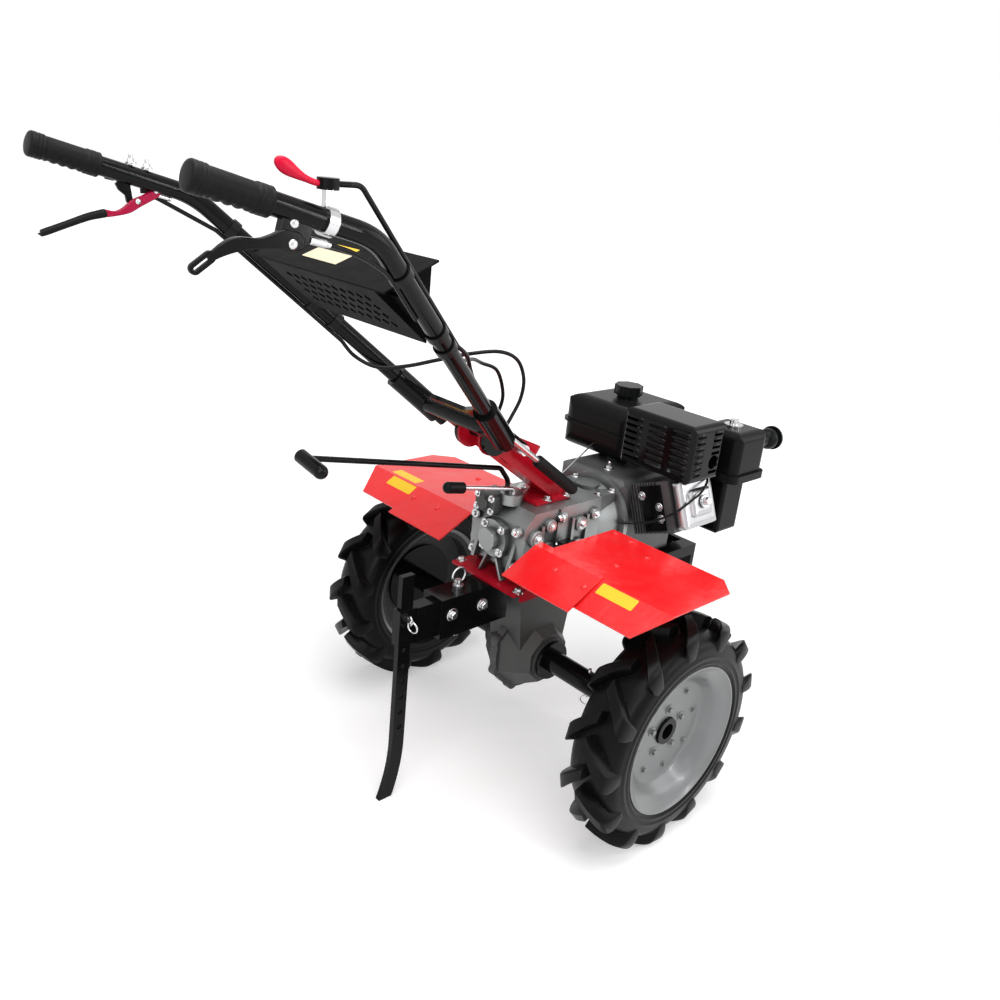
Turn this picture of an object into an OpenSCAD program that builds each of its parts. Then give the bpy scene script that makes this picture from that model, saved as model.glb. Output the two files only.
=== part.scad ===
// Walk-behind hand tractor on two lugged wheels and a drag stake.
// Millimetres; +X is forward, +Y is the operator's left, +Z is up; the floor is z = 0.
// Shapes are written from a point on the floor below the axle and then moved to the box centre.

/* [Wheels] */
// Radius of a tyre over its lug tips
tyre_r = 235; // [215:1:260]
// Width of a tyre over its lugs
tyre_w = 112; // [104:1:125]
// Height of the lugs at the crown
lug_h = 20; // [14:1:24]
// Thickness of one lug
lug_w = 24; // [18:1:28]
// Lugs on each side of a tyre
lug_count = 13; // [9:1:16]
// Radius of the round tyre section
section_r = 53; // [50:1:55]
// Radius of the rim where the tyre sits
rim_r = 127; // [118:1:132]
// Height of the rim flange
flange_h = 8; // [6:1:12]
// Width of a rim over its flanges
rim_w = 98; // [90:1:102]
// Distance between the middles of the two wheels
track = 742; // [680:2:820]

/* [Drive] */
// Radius of the final drive case at its seam
drum_r = 98; // [85:1:110]
// Width of the final drive case
drum_w = 136; // [120:1:150]
// Radius of the axle tubes
axle_r = 24; // [20:1:28]
// Radius of the socket in the outer end of an axle
socket_r = 16; // [13:0.5:18]
// Depth of that socket
socket_depth = 70; // [50:1:90]
// Length of the gearbox
gearbox_l = 215; // [190:1:230]
// Width of the gearbox
gearbox_w = 150; // [130:1:170]
// Height of the gearbox
gearbox_h = 150; // [135:1:165]

/* [Frame] */
// Height of the top of the base plate above the floor
plate_top = 432; // [415:1:450]
// Sheet thickness of the base plate and brackets
plate_t = 6; // [4:0.5:8]
// Distance of the drag stake behind the axle
stake_back = 340; // [325:1:370]
// Length of the stake above the floor
stake_l = 486; // [460:1:520]
// Front to back width of the stake
stake_w = 28; // [24:1:36]
// Thickness of the stake
stake_t = 12; // [10:1:16]
// How far the stake can be raised
stake_travel = 150; // [100:5:180]

/* [Engine] */
// Height of the crankshaft above the floor
crank_z = 505; // [490:1:520]
// Distance of the engine's rear face ahead of the axle
engine_x = 168; // [160:1:180]
// Lean of the cylinder above level
cylinder_lean = 22; // [15:1:28]
// Cooling fins on the cylinder
fin_count = 10; // [5:1:10]
// Louvres in a column of the muffler guard
louvre_rows = 7; // [4:1:9]

/* [Fenders] */
// Height of the fender tops above the floor
fender_z = 526; // [505:1:545]
// Sheet thickness of the fenders
fender_t = 2.5; // [2:0.5:4]
// Distance of the outer fender edges from the middle
fender_out = 424; // [410:1:440]

/* [Handlebar] */
// Radius of the handle tubes
tube_r = 14; // [12:0.5:16]
// Distance of each grip from the middle
grip_y = 240; // [210:1:270]
// Radius of the grips
grip_r = 16.5; // [15.5:0.5:19]
// Length of the grips
grip_l = 96; // [85:1:110]
// Distance of the grip ends behind the axle
reach = 858; // [830:1:890]
// Height of the grip ends above the floor
grip_z = 1170; // [1150:1:1190]

/* [Hidden] */
$fn = 64;
// Overrun of every cut past the face that it opens
cut = 1;
// Gap between pieces of one body that sit on each other
seat_gap = 0.3;
// Radial clearance of pins and shafts that turn
run_gap = 0.05;
// Face clearance between a turning piece and a fixed one
side_gap = 0.6;

// Tyre and rim
crown_r = tyre_r - lug_h;
section_mid_r = crown_r - section_r;
tyre_wall = 10;
crown_curve_r = 125;
crown_half = 45;
flange_r = rim_r + flange_h;
flange_t = 4;
rim_t = 4;
well_r = 112;
well_half = 24;
seat_half = rim_w / 2;
bead_half = seat_half - flange_t - seat_gap;
disc_y = 4;
disc_t = 6;
disc_flat_r = 88;
hub_hole_r = 27;
lug_sink = 32;
lug_root_r = crown_r - lug_sink;
lug_back = 28;
lug_front = 30;
lug_past = 5;
lug_knee_share = 0.42;
lug_top_r = sqrt(tyre_r * tyre_r - lug_front * lug_front);
lug_step = 360 / lug_count;

// Axles and final drive
axle_z = lug_top_r;
drum_half = drum_w / 2;
drum_end_r = 56;
drum_sides = 8;
seam_t = 18;
seam_grow = 5;
lobe_r = 15;
boss_l = 6;
boss_r = 46;
journal_r = 16;
journal_l = 24;
hub_flange_r = 42;
hub_flange_t = 9;
wheel_flange_r = disc_flat_r - 2 * seat_gap;
wheel_flange_t = 6;
hub_boss_r = hub_hole_r - seat_gap;
hub_boss_proud = 6;
hub_boss_l = disc_t + hub_boss_proud;
neck_w = 122;
neck_top_w = 176;
neck_half = 46;

// Gearbox and clutch housing
gearbox_x0 = -120;
gearbox_x1 = gearbox_x0 + gearbox_l;
gearbox_z0 = plate_top;
gearbox_z1 = gearbox_z0 + gearbox_h;
gearbox_half = gearbox_w / 2;
gearbox_chamfer = 26;
rib_t = 7;
rib_h = 7;
rib_shares = [0.2, 0.4, 0.6, 0.8];
split_share = 0.42;
split_t = 12;
split_proud = 9;
lobe_rise_shares = [0.12, 0.5, 0.88];
tower_x = -92;
tower_r = 23;
tower_h = 20;
web_t = 8;
web_y = 46;
web_h = 64;
web_l = 16;
bolt_boss_r = 10;
cover_share = 0.55;
cover_t = 14;
cover_r = 38;
cover_boss_r = 22;
cover_boss_l = 16;
housing_r = 84;
housing_share = 0.82;
housing_end_r = 96;
housing_end_t = 12;
deck_half = 62;
deck_z = 34;
deck_top = 72;
dome_r = 27;
dome_h = 8;

// Base plate, engine frame and hitch
plate_x0 = -150;
plate_web = 12;
plate_x1 = neck_top_w / 2 + plate_web;
plate_half = 92;
plate_lip = 22;
rail_lap = 58;
rail_x0 = plate_x1 - rail_lap;
rail_x1 = 452;
rail_h = 26;
rail_w = 34;
rail_y = 68;
rail_wall = 4;
front_plate_t = 8;
front_plate_h = 78;
front_bolt_r = 5.5;
front_bolt_dy = 30;
front_bolt_dz = 20;
tongue_half = 28;
tongue_h = 84;
tongue_l = 124;
tongue_x0 = plate_x0 - tongue_l;
hitch_wall = 6;
hitch_top = plate_top - plate_t;
receiver_wall = 4;
receiver_h = 74;
receiver_top = 418;
receiver_gap = 0.5;
pin_r = 7;
pin_head_r = 11;
pin_head_h = 7;
pin_rise = 18;
hitch_pin_x = -212;
ring_r = 16;
ring_wire_r = 2;
hole_r = 5.5;
hole_step = 34;
hole_count = 7;
hole_first_z = 160;
bend_spare = 66;
bend_z = receiver_top - receiver_h - stake_travel - bend_spare;
bend_r = 370;

// Engine
engine_base_z = 400;
case_l = 205;
case_wall = 9;
case_y0 = -72;
case_y1 = 118;
case_z0 = engine_base_z + seat_gap;
case_top = 596;
case_round = 22;
barrel_r = 46;
barrel_l = 190;
fin_w = 122;
fin_d = 108;
fin_t = 3;
fin_first = 84;
fin_pitch = 7.5;
head_l = 30;
valve_l = 28;
valve_w = 112;
valve_h = 104;
valve_round = 13;
dome_inset = 22;
valve_dome = 9;
guide_low = 118;
guide_high = 172;
guide_side = 48;
sheet_t = 3;
cylinder_back = 88;
cylinder_x = engine_x + cylinder_back;
shroud_r = 96;
shroud_l = 62;
shroud_taper_share = 0.97;
cover_wall = 3;
recoil_r = 88;
recoil_l = 42;
recoil_taper_share = 0.9;
recoil_hub_r = 40;
recoil_hub_l = 8;
tank_x0 = 232;
tank_l = 215;
tank_y0 = -14;
tank_y1 = 186;
tank_z0 = 604;
tank_h = 122;
tank_round = 36;
tank_wall = 3;
tank_seam_h = 6;
tank_seam_grow = 5;
tank_seam_share = 0.48;
tank_foot_r = 10;
tank_foot_x_shares = [0.22, 0.5];
tank_foot_y_shares = [0.22, 0.5];
cap_x = 334;
cap_y = 84;
cap_r = 30;
cap_h = 22;
cap_neck_r = 24;
cap_neck_h = 8;
cap_grip_r = 5;
cap_grips = 8;
guard_x0 = 190;
guard_l = 112;
guard_y0 = -206;
guard_y1 = -26;
guard_z0 = 630;
guard_h = 122;
guard_round = 14;
guard_t = 2.5;
louvre_w = 44;
louvre_h = 7;
side_louvre_w = 28;
outlet_r = 15;
outlet_x_share = 0.72;
outlet_z_share = 0.34;
muffler_inset = 14;
muffler_round = 26;
muffler_wall = 3;
exhaust_r = 17;
stay_r = 5;
cleaner_x0 = 335;
cleaner_l = 112;
cleaner_y0 = -222;
cleaner_y1 = -108;
cleaner_z0 = 616;
cleaner_h = 106;
cleaner_round = 20;
cleaner_base_h = 16;
cleaner_base_grow = 6;
nut_r = 9;
nut_h = 14;
washer_r = 20;
washer_h = 4;
wing_l = 30;
wing_t = 4;
intake_r = 24;
intake_x = 545;
intake_pipe_r = 15;
bell_r = 27;
bell_t = 5;
intake_y = -165;
intake_z = 672;
carb_x0 = 352;
carb_l = 78;
carb_y0 = -196;
carb_y1 = -116;
carb_z0 = 488;
carb_round = 10;
manifold_r = 14;

// Fenders
fender_x1 = 96;
fender_crease_x = -108;
fender_rear_x = -170;
fender_rear_drop = 38;
fender_in = 116;
fender_lip = 14;
fender_cut = 40;
skirt_in = 92;
skirt_out = 262;
skirt_lap = 22;
skirt_drop = 42;
skirt_x0 = -190;
bracket_w = 30;
bracket_x = -30;
bracket_out = 330;

// Handle bracket and its pivot
pivot_x = -186;
pivot_z = 736;
channel_x = 26;
foot_t = 6;
channel_z = gearbox_z1 + foot_t;
channel_half = 31;
channel_depth = 40;
channel_t = 5;
ear_r = 34;
foot_l = 90;
foot_half = 44;
stop_along = 26;
stop_l = 22;
stop_t = 6;
stop_y = 18;
lug_along = 120;
lug_plate_t = 6;
lug_rise = 44;
lug_hold = 35;
hinge_r = 10;
cheek_t = 10;
cheek_r = 32;
cheek_half = 14;
hinge_proud = 4;
lock_rod_r = 6;
lock_out = 30;
lock_y = channel_half + lock_out;
lock_boss_r = 10;
lock_l = 128;
lock_up = 24;
lock_z = 12;
lock_boss_along = 60;
lock_head_r = 9;
lock_head_l = 16;
lock_grip_r = 12;
lock_grip_l = 142;

// Handle tubes
low_x = -206;
low_y = 86;
low_z = 742;
hand_l = 238;
bend_x = hand_l - reach;
bend_y = 244;
bend_top_z = 1112;
tube_bend_r = 110;
cross_share = 0.09;
cross_r = 17;
sleeve_r = 21;
sleeve_l = 110;
gusset_t = 8;
gusset_low = 20;
gusset_mid = 64;
gusset_top = 96;
gusset_inset = 4;
gusset_half = 46;
gusset_arm = 16;
grip_ring_r = 18;
grip_ring_w = 12;
grip_end_t = 6;
tube_stop = grip_end_t + seat_gap;

// Console between the tubes
console_rise = 40;
console_set = 65;
console_l = 100;
console_drop = 80;
console_depth = 120;
console_side = 150;
console_rear_side = 178;
lattice_s = 11;
lattice_step = 21;
lattice_first = 32;
lattice_rows = 4;
lattice_columns = 11;
console_t = 3;
ear_t = 6;
ear_shares = [0.3, 0.75];

// Hand levers, placed ahead of the inner ends of the grips
lever_t = 7;
clamp_wall = 3.5;
lever_clamp_r = tube_r + clamp_wall;
lever_clamp_l = 42;
lever_drop = 46;
lever_eye_r = 12;
lever_arm_w = 9;
lever_tip_r = 9;
lever_bar_w = 15;
grip_inner_x = grip_l - reach;
clutch_set = 36;
clutch_x = grip_inner_x + clutch_set;
clutch_l = 96;
clutch_fall = 37;
clutch_bar_w = 17;
clutch_end_l = 82;
clutch_end_r = 6.5;
reverse_set = 30;
reverse_x = grip_inner_x + reverse_set;
reverse_l = 120;
reverse_fall = 24;
reverse_sag = 16;
slot_l = 24;
slot_w = 6;
throttle_set = 72;
throttle_x = grip_inner_x + throttle_set;
throttle_clamp_w = 14;
throttle_post = 17;
throttle_post_w = 10;
throttle_body_r = 13;
throttle_body_h = 13;
throttle_l = 52;
throttle_rise = 20;
throttle_bar_w = 11;
throttle_paddle_r = 13;

// Gear levers
gear_rod_r = 5;
gear_y = 14;
gear_low_x = -92;
gear_top_x = -116;
gear_top_z = 652;
gear_end_x = -552;
gear_end_z = 740;
gear_foot_h = 20;
gear_bend_r = 18;
gear_knob_r = 12;
gear_knob_l = 58;
gear_knob_drop = 10;
side_rod_r = 4.5;
side_y = -10;
side_low_x = -98;
side_end_x = -232;
side_end_z = 640;
side_foot_h = 12;
side_bend_r = 10;
side_knob_r = 11;
side_knob_l = 46;

// Cables: held stretches on the tubes and free loops to the handle bracket
run_r = 3.5;
run_lead = 16;
run_bend = 18;
run_set = 42;
run_top_x = bend_x + run_set;
clutch_run_low_x = -384;
control_run_low_x = -424;
clutch_turn = 180;
reverse_turn = 50;
throttle_turn = 0;
clip_l = 14;
clip_t = 3;
clip_shares = [0.04, 0.68, 0.86];
cable_r = 3.5;
cable_sides = 8;
cable_steps = 3;
cable_lead = 36;
cable_gap = 3 * seat_gap;
cable_lift = 5;
clutch_loop = [[-345, 116, 846], [-305, 84, 852], [-265, 48, 868], [-222, 12, 884], [-176, -14, 890],
    [-136, -20, 874], [-114, -20, 838], [-114, -18, 800]];
reverse_loop = [[-354, -112, 908], [-306, -72, 898], [-258, -38, 888], [-214, -12, 872], [-160, 4, 850],
    [-130, 14, 802]];
throttle_loop = [[-340, -124, 895], [-285, -82, 850], [-225, -42, 805], [-160, -8, 759]];

// Spigots inside bent bars
spigot_share = 0.3;
spigot_r_share = 0.8;

// Colours
red = "#e3231c";
deep_red = "#c0152b";
black = "#1b1c1e";
cast_grey = "#55585a";
silver = "#a9adb0";
rim_grey = "#b4b8ba";
rubber = "#222324";
chrome = "#d9dcde";

// Direction of the cylinder, straight points and the tube line
cylinder_dir = [0, -cos(cylinder_lean), sin(cylinder_lean)];
tube_low = [low_x, low_y, low_z];
tube_bend = [bend_x, bend_y, bend_top_z];
tube_end = [-reach + tube_stop, grip_y, grip_z];
grip_dir = unit(tube_end - tube_bend);
grip_end = tube_end + grip_dir * tube_stop;

side_foot = [side_low_x, side_y, gearbox_z1 + tower_h + seat_gap];
side_end = [side_end_x, side_y, side_end_z];

// Middle of the machine's box along X, for the origin
rear_x = grip_end[0] - grip_ring_r * norm([grip_dir[1], grip_dir[2]]);
centre_x = (intake_x + intake_r + rear_x) / 2;

function unit(v) = v / norm(v);
function flip(p) = [p[0], -p[1], p[2]];
function flip_all(points) = [for (p = points) flip(p)];
function along(a, b, share) = a + (b - a) * share;

// Moves the children from the axle frame to the origin of the part
module part(tint) {
    color(tint) translate([-centre_x, 0, 0]) children();
}

module right_side() {
    mirror([0, 1, 0]) children();
}

module both_sides() {
    children();
    right_side() children();
}

// Round bar between two points
module rod(a, b, r) {
    d = b - a;
    translate(a) rotate([0, acos(d[2] / norm(d)), atan2(d[1], d[0])]) cylinder(h = norm(d), r = r);
}

// Turns +Z to a direction, at a point
module aim(at, d) {
    translate(at) rotate([0, acos(d[2] / norm(d)), atan2(d[1], d[0])]) children();
}

// Round bar along a list of points, with each corner bent to a radius.
// Straight and bent lengths meet on short inner spigots.
module bent_rod(points, r, bend) {
    n = len(points);
    dirs = [for (i = [0:n - 2]) unit(points[i + 1] - points[i])];
    turns = [for (i = [0:n - 1]) i == 0 || i == n - 1 ? 0 : acos(dirs[i - 1] * dirs[i])];
    trims = [for (a = turns) a == 0 ? 0 : bend * tan(a / 2) + run_gap];
    for (i = [0:n - 2]) rod(points[i] + dirs[i] * trims[i], points[i + 1] - dirs[i] * trims[i + 1], r);
    for (i = [1:n - 2]) {
        start = points[i] - dirs[i - 1] * (trims[i] - run_gap);
        end = points[i] + dirs[i] * (trims[i] - run_gap);
        bend_arc(start, dirs[i - 1], dirs[i], turns[i], r, bend);
        rod(start - dirs[i - 1] * r * spigot_share, start + dirs[i - 1] * r * spigot_share,
            r * spigot_r_share);
        rod(end - dirs[i] * r * spigot_share, end + dirs[i] * r * spigot_share, r * spigot_r_share);
    }
}

// Quarter of a ring, or less, that starts at a point along d1 and leaves along d2
module bend_arc(start, d1, d2, turn, r, bend) {
    n = unit(d2 - d1 * (d1 * d2));
    k = cross(-n, d1);
    c = start + n * bend;
    multmatrix([[-n[0], d1[0], k[0], c[0]], [-n[1], d1[1], k[1], c[1]], [-n[2], d1[2], k[2], c[2]]])
        rotate_extrude(angle = turn) translate([bend, 0]) circle(r);
}

// Handle knob with a round end
module knob(from, to, r) {
    l = norm(to - from);
    aim(from, to - from) rotate_extrude() {
        square([r, l - r]);
        intersection() {
            translate([0, l - r]) circle(r);
            square([r, l]);
        }
    }
}

module cyl_y(r, h) {
    rotate([-90, 0, 0]) cylinder(h = h, r = r);
}

module cyl_x(r, h) {
    rotate([0, 90, 0]) cylinder(h = h, r = r);
}

// Outline in X and Z carried along Y
module slab_y(points, y0, y1) {
    translate([0, y1, 0]) rotate([90, 0, 0]) linear_extrude(y1 - y0) polygon(points);
}

// Box from a corner, with its size as the opposite corner
module block(a, b) {
    translate(a) cube(b - a);
}

module rounded(w, d, r) {
    translate([r, 0]) square([w - 2 * r, d]);
    translate([0, r]) square([w, d - 2 * r]);
    for (x = [r, w - r], y = [r, d - r]) translate([x, y]) circle(r);
}

// Box with every edge rounded: three rounded bars that meet
module soft_box(a, b, r) {
    s = b - a;
    translate(a) intersection() {
        linear_extrude(s[2]) rounded(s[0], s[1], r);
        translate([0, s[1], 0]) rotate([90, 0, 0]) linear_extrude(s[1]) rounded(s[0], s[2], r);
        rotate([90, 0, 90]) linear_extrude(s[0]) rounded(s[1], s[2], r);
    }
}

// Revolve about the wheel axis
module revolve_y() {
    rotate([-90, 0, 0]) rotate_extrude($fn = 96) children();
}

module on_wheel() {
    translate([0, track / 2, axle_z]) children();
}

module tyre_section() {
    difference() {
        union() {
            translate([section_mid_r, 0]) circle(section_r);
            intersection() {
                translate([crown_r - crown_curve_r, 0]) circle(crown_curve_r);
                translate([section_mid_r, -crown_half]) square([crown_r, 2 * crown_half]);
            }
        }
        translate([0, -tyre_w]) square([rim_r + seat_gap, 2 * tyre_w]);
        for (y = [bead_half, -tyre_w])
            translate([0, y]) square([flange_r + seat_gap, tyre_w - bead_half]);
    }
}

module lug() {
    knee = tyre_w / 2 * lug_knee_share;
    translate([0, 0, lug_root_r]) linear_extrude(lug_top_r - lug_root_r) polygon([
        [lug_front - lug_w, -lug_past], [lug_front, -lug_past],
        [lug_w - lug_back / 2, knee], [lug_w - lug_back, tyre_w / 2],
        [-lug_back, tyre_w / 2], [-lug_back / 2, knee]]);
}

module tyre() {
    on_wheel() difference() {
        union() {
            revolve_y() tyre_section();
            for (i = [0:lug_count - 1]) {
                rotate([0, i * lug_step, 0]) lug();
                rotate([0, (i + 0.5) * lug_step, 0]) right_side() lug();
            }
        }
        revolve_y() translate([section_mid_r, 0]) circle(section_r - tyre_wall);
    }
}

module rim_section() {
    for (y = [seat_half - flange_t, -seat_half])
        translate([rim_r - rim_t, y]) square([flange_h + rim_t, flange_t]);
    for (y = [well_half, -seat_half]) translate([rim_r - rim_t, y]) square([rim_t, seat_half - well_half]);
    for (y = [well_half, -well_half - rim_t]) translate([well_r - rim_t, y])
        square([rim_r - well_r + rim_t, rim_t]);
    translate([well_r - rim_t, -well_half]) square([rim_t, 2 * well_half]);
    polygon([[well_r - rim_t, -disc_t], [well_r - rim_t, 0], [disc_flat_r, disc_y + disc_t],
        [hub_hole_r, disc_y + disc_t], [hub_hole_r, disc_y], [disc_flat_r, disc_y]]);
}

module rim() {
    on_wheel() revolve_y() rim_section();
}

// Output axle: journal, hub flange, tube, wheel flange and open socket
module axle() {
    y0 = drum_half + boss_l + side_gap;
    y1 = track / 2 + disc_y;
    end = y1 + hub_boss_l;
    translate([0, 0, axle_z]) difference() {
        union() {
            translate([0, y0 - journal_l, 0]) cyl_y(journal_r, journal_l + cut);
            translate([0, y0, 0]) cyl_y(hub_flange_r, hub_flange_t);
            translate([0, y0, 0]) cyl_y(axle_r, y1 - y0);
            translate([0, y1 - wheel_flange_t, 0]) cyl_y(wheel_flange_r, wheel_flange_t);
            translate([0, y1 - cut, 0]) cyl_y(hub_boss_r, hub_boss_l + cut);
        }
        translate([0, end - socket_depth, 0]) cyl_y(socket_r, socket_depth + cut);
    }
}

module final_drive() {
    part(cast_grey) difference() {
        union() {
            translate([0, 0, axle_z]) both_sides() {
                rotate([-90, 360 / drum_sides / 2, 0])
                    cylinder(h = drum_half, r1 = drum_r, r2 = drum_end_r, $fn = drum_sides);
                cyl_y(boss_r, drum_half + boss_l);
            }
            translate([0, -seam_t / 2, axle_z]) cyl_y(drum_r + seam_grow - lobe_r / 2, seam_t);
            for (i = [0:drum_sides - 1]) rotate_about_axle((i + 0.5) * 360 / drum_sides)
                translate([drum_r + seam_grow - lobe_r, -seam_t / 2, 0]) cyl_y(lobe_r, seam_t);
            slab_y([[-neck_w / 2, axle_z], [neck_w / 2, axle_z], [neck_top_w / 2, plate_top - seat_gap],
                [-neck_top_w / 2, plate_top - seat_gap]], -neck_half, neck_half);
        }
        both_sides() translate([0, drum_half + boss_l - journal_l, axle_z])
            cyl_y(journal_r + run_gap, journal_l + cut);
    }
}

module rotate_about_axle(angle) {
    translate([0, 0, axle_z]) rotate([0, angle, 0]) children();
}

module gearbox_outline() {
    x0 = gearbox_x0;
    x1 = gearbox_x1;
    z0 = gearbox_z0;
    z1 = gearbox_z1;
    c = gearbox_chamfer;
    polygon([[x0 + c, z0], [x1, z0], [x1, z1], [x0 + c, z1], [x0, z1 - c], [x0, z0 + c]]);
}

module gearbox() {
    split_x = gearbox_x0 + gearbox_l * split_share;
    part(silver) {
        translate([0, gearbox_half, 0]) rotate([90, 0, 0]) linear_extrude(gearbox_w) gearbox_outline();
        both_sides() for (s = rib_shares)
            block([gearbox_x0 + gearbox_l * s - rib_t / 2, gearbox_half - cut, gearbox_z0 + gearbox_chamfer],
                [gearbox_x0 + gearbox_l * s + rib_t / 2, gearbox_half + rib_h, gearbox_z1 - gearbox_chamfer]);
        translate([split_x, 0, gearbox_z0]) rotate([90, 0, 90]) linear_extrude(split_t) {
            translate([-gearbox_half - split_proud / 2, 0]) square([gearbox_w + split_proud,
                gearbox_h - cut]);
            for (y = [-gearbox_half, gearbox_half], i = lobe_rise_shares)
                translate([y, gearbox_h * i]) circle(bolt_boss_r + split_proud / 3);
        }
        translate([tower_x, 0, gearbox_z1 - cut]) cylinder(h = tower_h + cut, r = tower_r);
        both_sides() slab_y([[gearbox_x0 + cut, gearbox_z0 + gearbox_chamfer], [gearbox_x0 - web_l,
            gearbox_z0 + gearbox_chamfer],
            [gearbox_x0 + cut, gearbox_z0 + gearbox_chamfer + web_h]], web_y, web_y + web_t);
    }
}

module gearbox_cover() {
    z = gearbox_z0 + gearbox_h * cover_share;
    part(silver) translate([gearbox_x0 - seat_gap, 0, z]) rotate([0, -90, 0]) {
        linear_extrude(cover_t) {
            circle(cover_r);
            for (a = [45:90:315]) rotate(a) translate([cover_r - bolt_boss_r / 2, 0]) circle(bolt_boss_r);
        }
        translate([0, 0, cover_t / 2]) cylinder(h = cover_t / 2 + cover_boss_l, r = cover_boss_r);
    }
}

module clutch_housing() {
    part(silver) translate([gearbox_x1 + seat_gap, 0, crank_z]) {
        l = engine_x - gearbox_x1 - 2 * seat_gap;
        rotate([0, 90, 0]) cylinder(h = l, r1 = housing_r * housing_share, r2 = housing_r);
        translate([l - housing_end_t, 0, 0]) cyl_x(housing_end_r, housing_end_t);
        block([0, -deck_half, deck_z], [l - cut, deck_half, deck_top]);
        translate([l / 2, 0, deck_top - cut]) cylinder(h = dome_h + cut, r = dome_r);
    }
}

module base_plate() {
    part(deep_red) difference() {
        union() {
            block([plate_x0, -plate_half, plate_top - plate_t], [plate_x1, plate_half, plate_top - seat_gap]);
            both_sides() block([plate_x0 + plate_lip, plate_half - plate_t, plate_top - plate_lip],
                [plate_x1, plate_half, plate_top - seat_gap]);
        }
        block([-neck_top_w / 2 - seat_gap, -neck_half - seat_gap, plate_top - 2 * plate_t],
            [neck_top_w / 2 + seat_gap, neck_half + seat_gap, plate_top + cut]);
    }
}

module engine_frame() {
    z1 = engine_base_z;
    part(black) {
        both_sides() {
            difference() {
                block([rail_x0, rail_y - rail_w / 2, z1 - rail_h], [rail_x1, rail_y + rail_w / 2, z1]);
                block([rail_x0 - cut, rail_y - rail_w / 2 + rail_wall, z1 - rail_h - cut],
                    [rail_x1 - rail_wall, rail_y + rail_w / 2 - rail_wall, z1 - rail_wall]);
            }
            block([rail_x0, rail_y - rail_w / 2, z1 - rail_wall],
                [plate_x1, rail_y - rail_w / 2 + plate_t, plate_top - plate_t - seat_gap]);
        }
        difference() {
            block([rail_x1 - rail_wall, -rail_y - rail_w / 2, z1 - front_plate_h],
                [rail_x1 + front_plate_t, rail_y + rail_w / 2, z1]);
            for (y = [-front_bolt_dy, front_bolt_dy], z = [-front_bolt_dz, front_bolt_dz])
                translate([rail_x1 - rail_wall - cut, y, z1 - front_plate_h / 2 + z])
                    cyl_x(front_bolt_r, rail_wall + front_plate_t + 2 * cut);
        }
    }
}

// Turns the Z axis to the axis of the leaning cylinder, from the crankshaft
module on_cylinder() {
    translate([cylinder_x, 0, crank_z]) rotate([90 - cylinder_lean, 0, 0]) children();
}

module engine_block() {
    a = [engine_x, case_y0, case_z0];
    b = [engine_x + case_l, case_y1, case_top];
    w = [case_wall, case_wall, case_wall];
    part(silver) {
        difference() {
            soft_box(a, b, case_round);
            soft_box(a + w, b - w, case_round - case_wall);
        }
        difference() {
            on_cylinder() {
                cylinder(h = barrel_l, r = barrel_r);
                for (i = [0:fin_count - 1]) translate([-fin_w / 2, -fin_d / 2, fin_first + i * fin_pitch])
                    cube([fin_w, fin_d, fin_t]);
                translate([-fin_w / 2, -fin_d / 2, barrel_l - head_l]) cube([fin_w, fin_d, head_l]);
            }
            soft_box(a + w, b - w, case_round - case_wall);
        }
    }
}

module valve_cover() {
    inset = [dome_inset, dome_inset, 0];
    part(chrome) on_cylinder() translate([0, 0, barrel_l + seat_gap]) {
        a = [-valve_w / 2, -valve_h / 2, 0];
        b = [valve_w / 2, valve_h / 2, valve_l];
        soft_box(a, b, valve_round);
        soft_box(a + inset, b - inset + [0, 0, valve_dome], valve_round);
    }
}

// Sheet that guides the fan air over the rear of the fins
module air_guide() {
    part(black) on_cylinder() block([-fin_w / 2 - seat_gap - sheet_t, -guide_side, guide_low],
        [-fin_w / 2 - seat_gap, guide_side, guide_high]);
}

// Round cover, open to the rear, that narrows a little to the front
module cup_x(r, l, taper_share, wall) {
    rotate([0, 90, 0]) difference() {
        cylinder(h = l, r1 = r, r2 = r * taper_share);
        translate([0, 0, -cut]) cylinder(h = l - wall + cut, r1 = r - wall, r2 = r * taper_share - wall);
    }
}

module fan_shroud() {
    part(black) translate([engine_x + case_l + seat_gap, 0, crank_z])
        cup_x(shroud_r, shroud_l, shroud_taper_share, cover_wall);
}

module recoil_starter() {
    part(black) translate([engine_x + case_l + shroud_l + 2 * seat_gap, 0, crank_z]) {
        cup_x(recoil_r, recoil_l, recoil_taper_share, cover_wall);
        translate([recoil_l - cover_wall, 0, 0]) cyl_x(recoil_hub_r, cover_wall + recoil_hub_l);
    }
}

module fuel_tank() {
    a = [tank_x0, tank_y0, tank_z0];
    b = [tank_x0 + tank_l, tank_y1, tank_z0 + tank_h];
    w = [tank_wall, tank_wall, tank_wall];
    g = [tank_seam_grow, tank_seam_grow, 0];
    seam = tank_z0 + tank_h * tank_seam_share;
    part(black) difference() {
        union() {
            soft_box(a, b, tank_round);
            translate([a[0] - g[0], a[1] - g[1], seam]) linear_extrude(tank_seam_h)
                rounded(tank_l + 2 * g[0], tank_y1 - tank_y0 + 2 * g[1], tank_round);
        }
        soft_box(a + w, b - w, tank_round - tank_wall);
    }
    part(black) for (i = tank_foot_x_shares, j = tank_foot_y_shares)
        translate([tank_x0 + tank_l * i, tank_y0 + (tank_y1 - tank_y0) * j, case_top + seat_gap])
            cylinder(h = tank_z0 - case_top + tank_wall / 2, r = tank_foot_r);
}

module tank_cap() {
    part(black) translate([cap_x, cap_y, tank_z0 + tank_h + seat_gap]) {
        cylinder(h = cap_neck_h, r = cap_neck_r);
        translate([0, 0, cap_neck_h]) cylinder(h = cap_h, r = cap_r);
        for (i = [0:cap_grips - 1]) rotate([0, 0, i * 360 / cap_grips])
            translate([cap_r - cap_grip_r / 2, 0, cap_neck_h]) cylinder(h = cap_h, r = cap_grip_r);
    }
}

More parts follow.
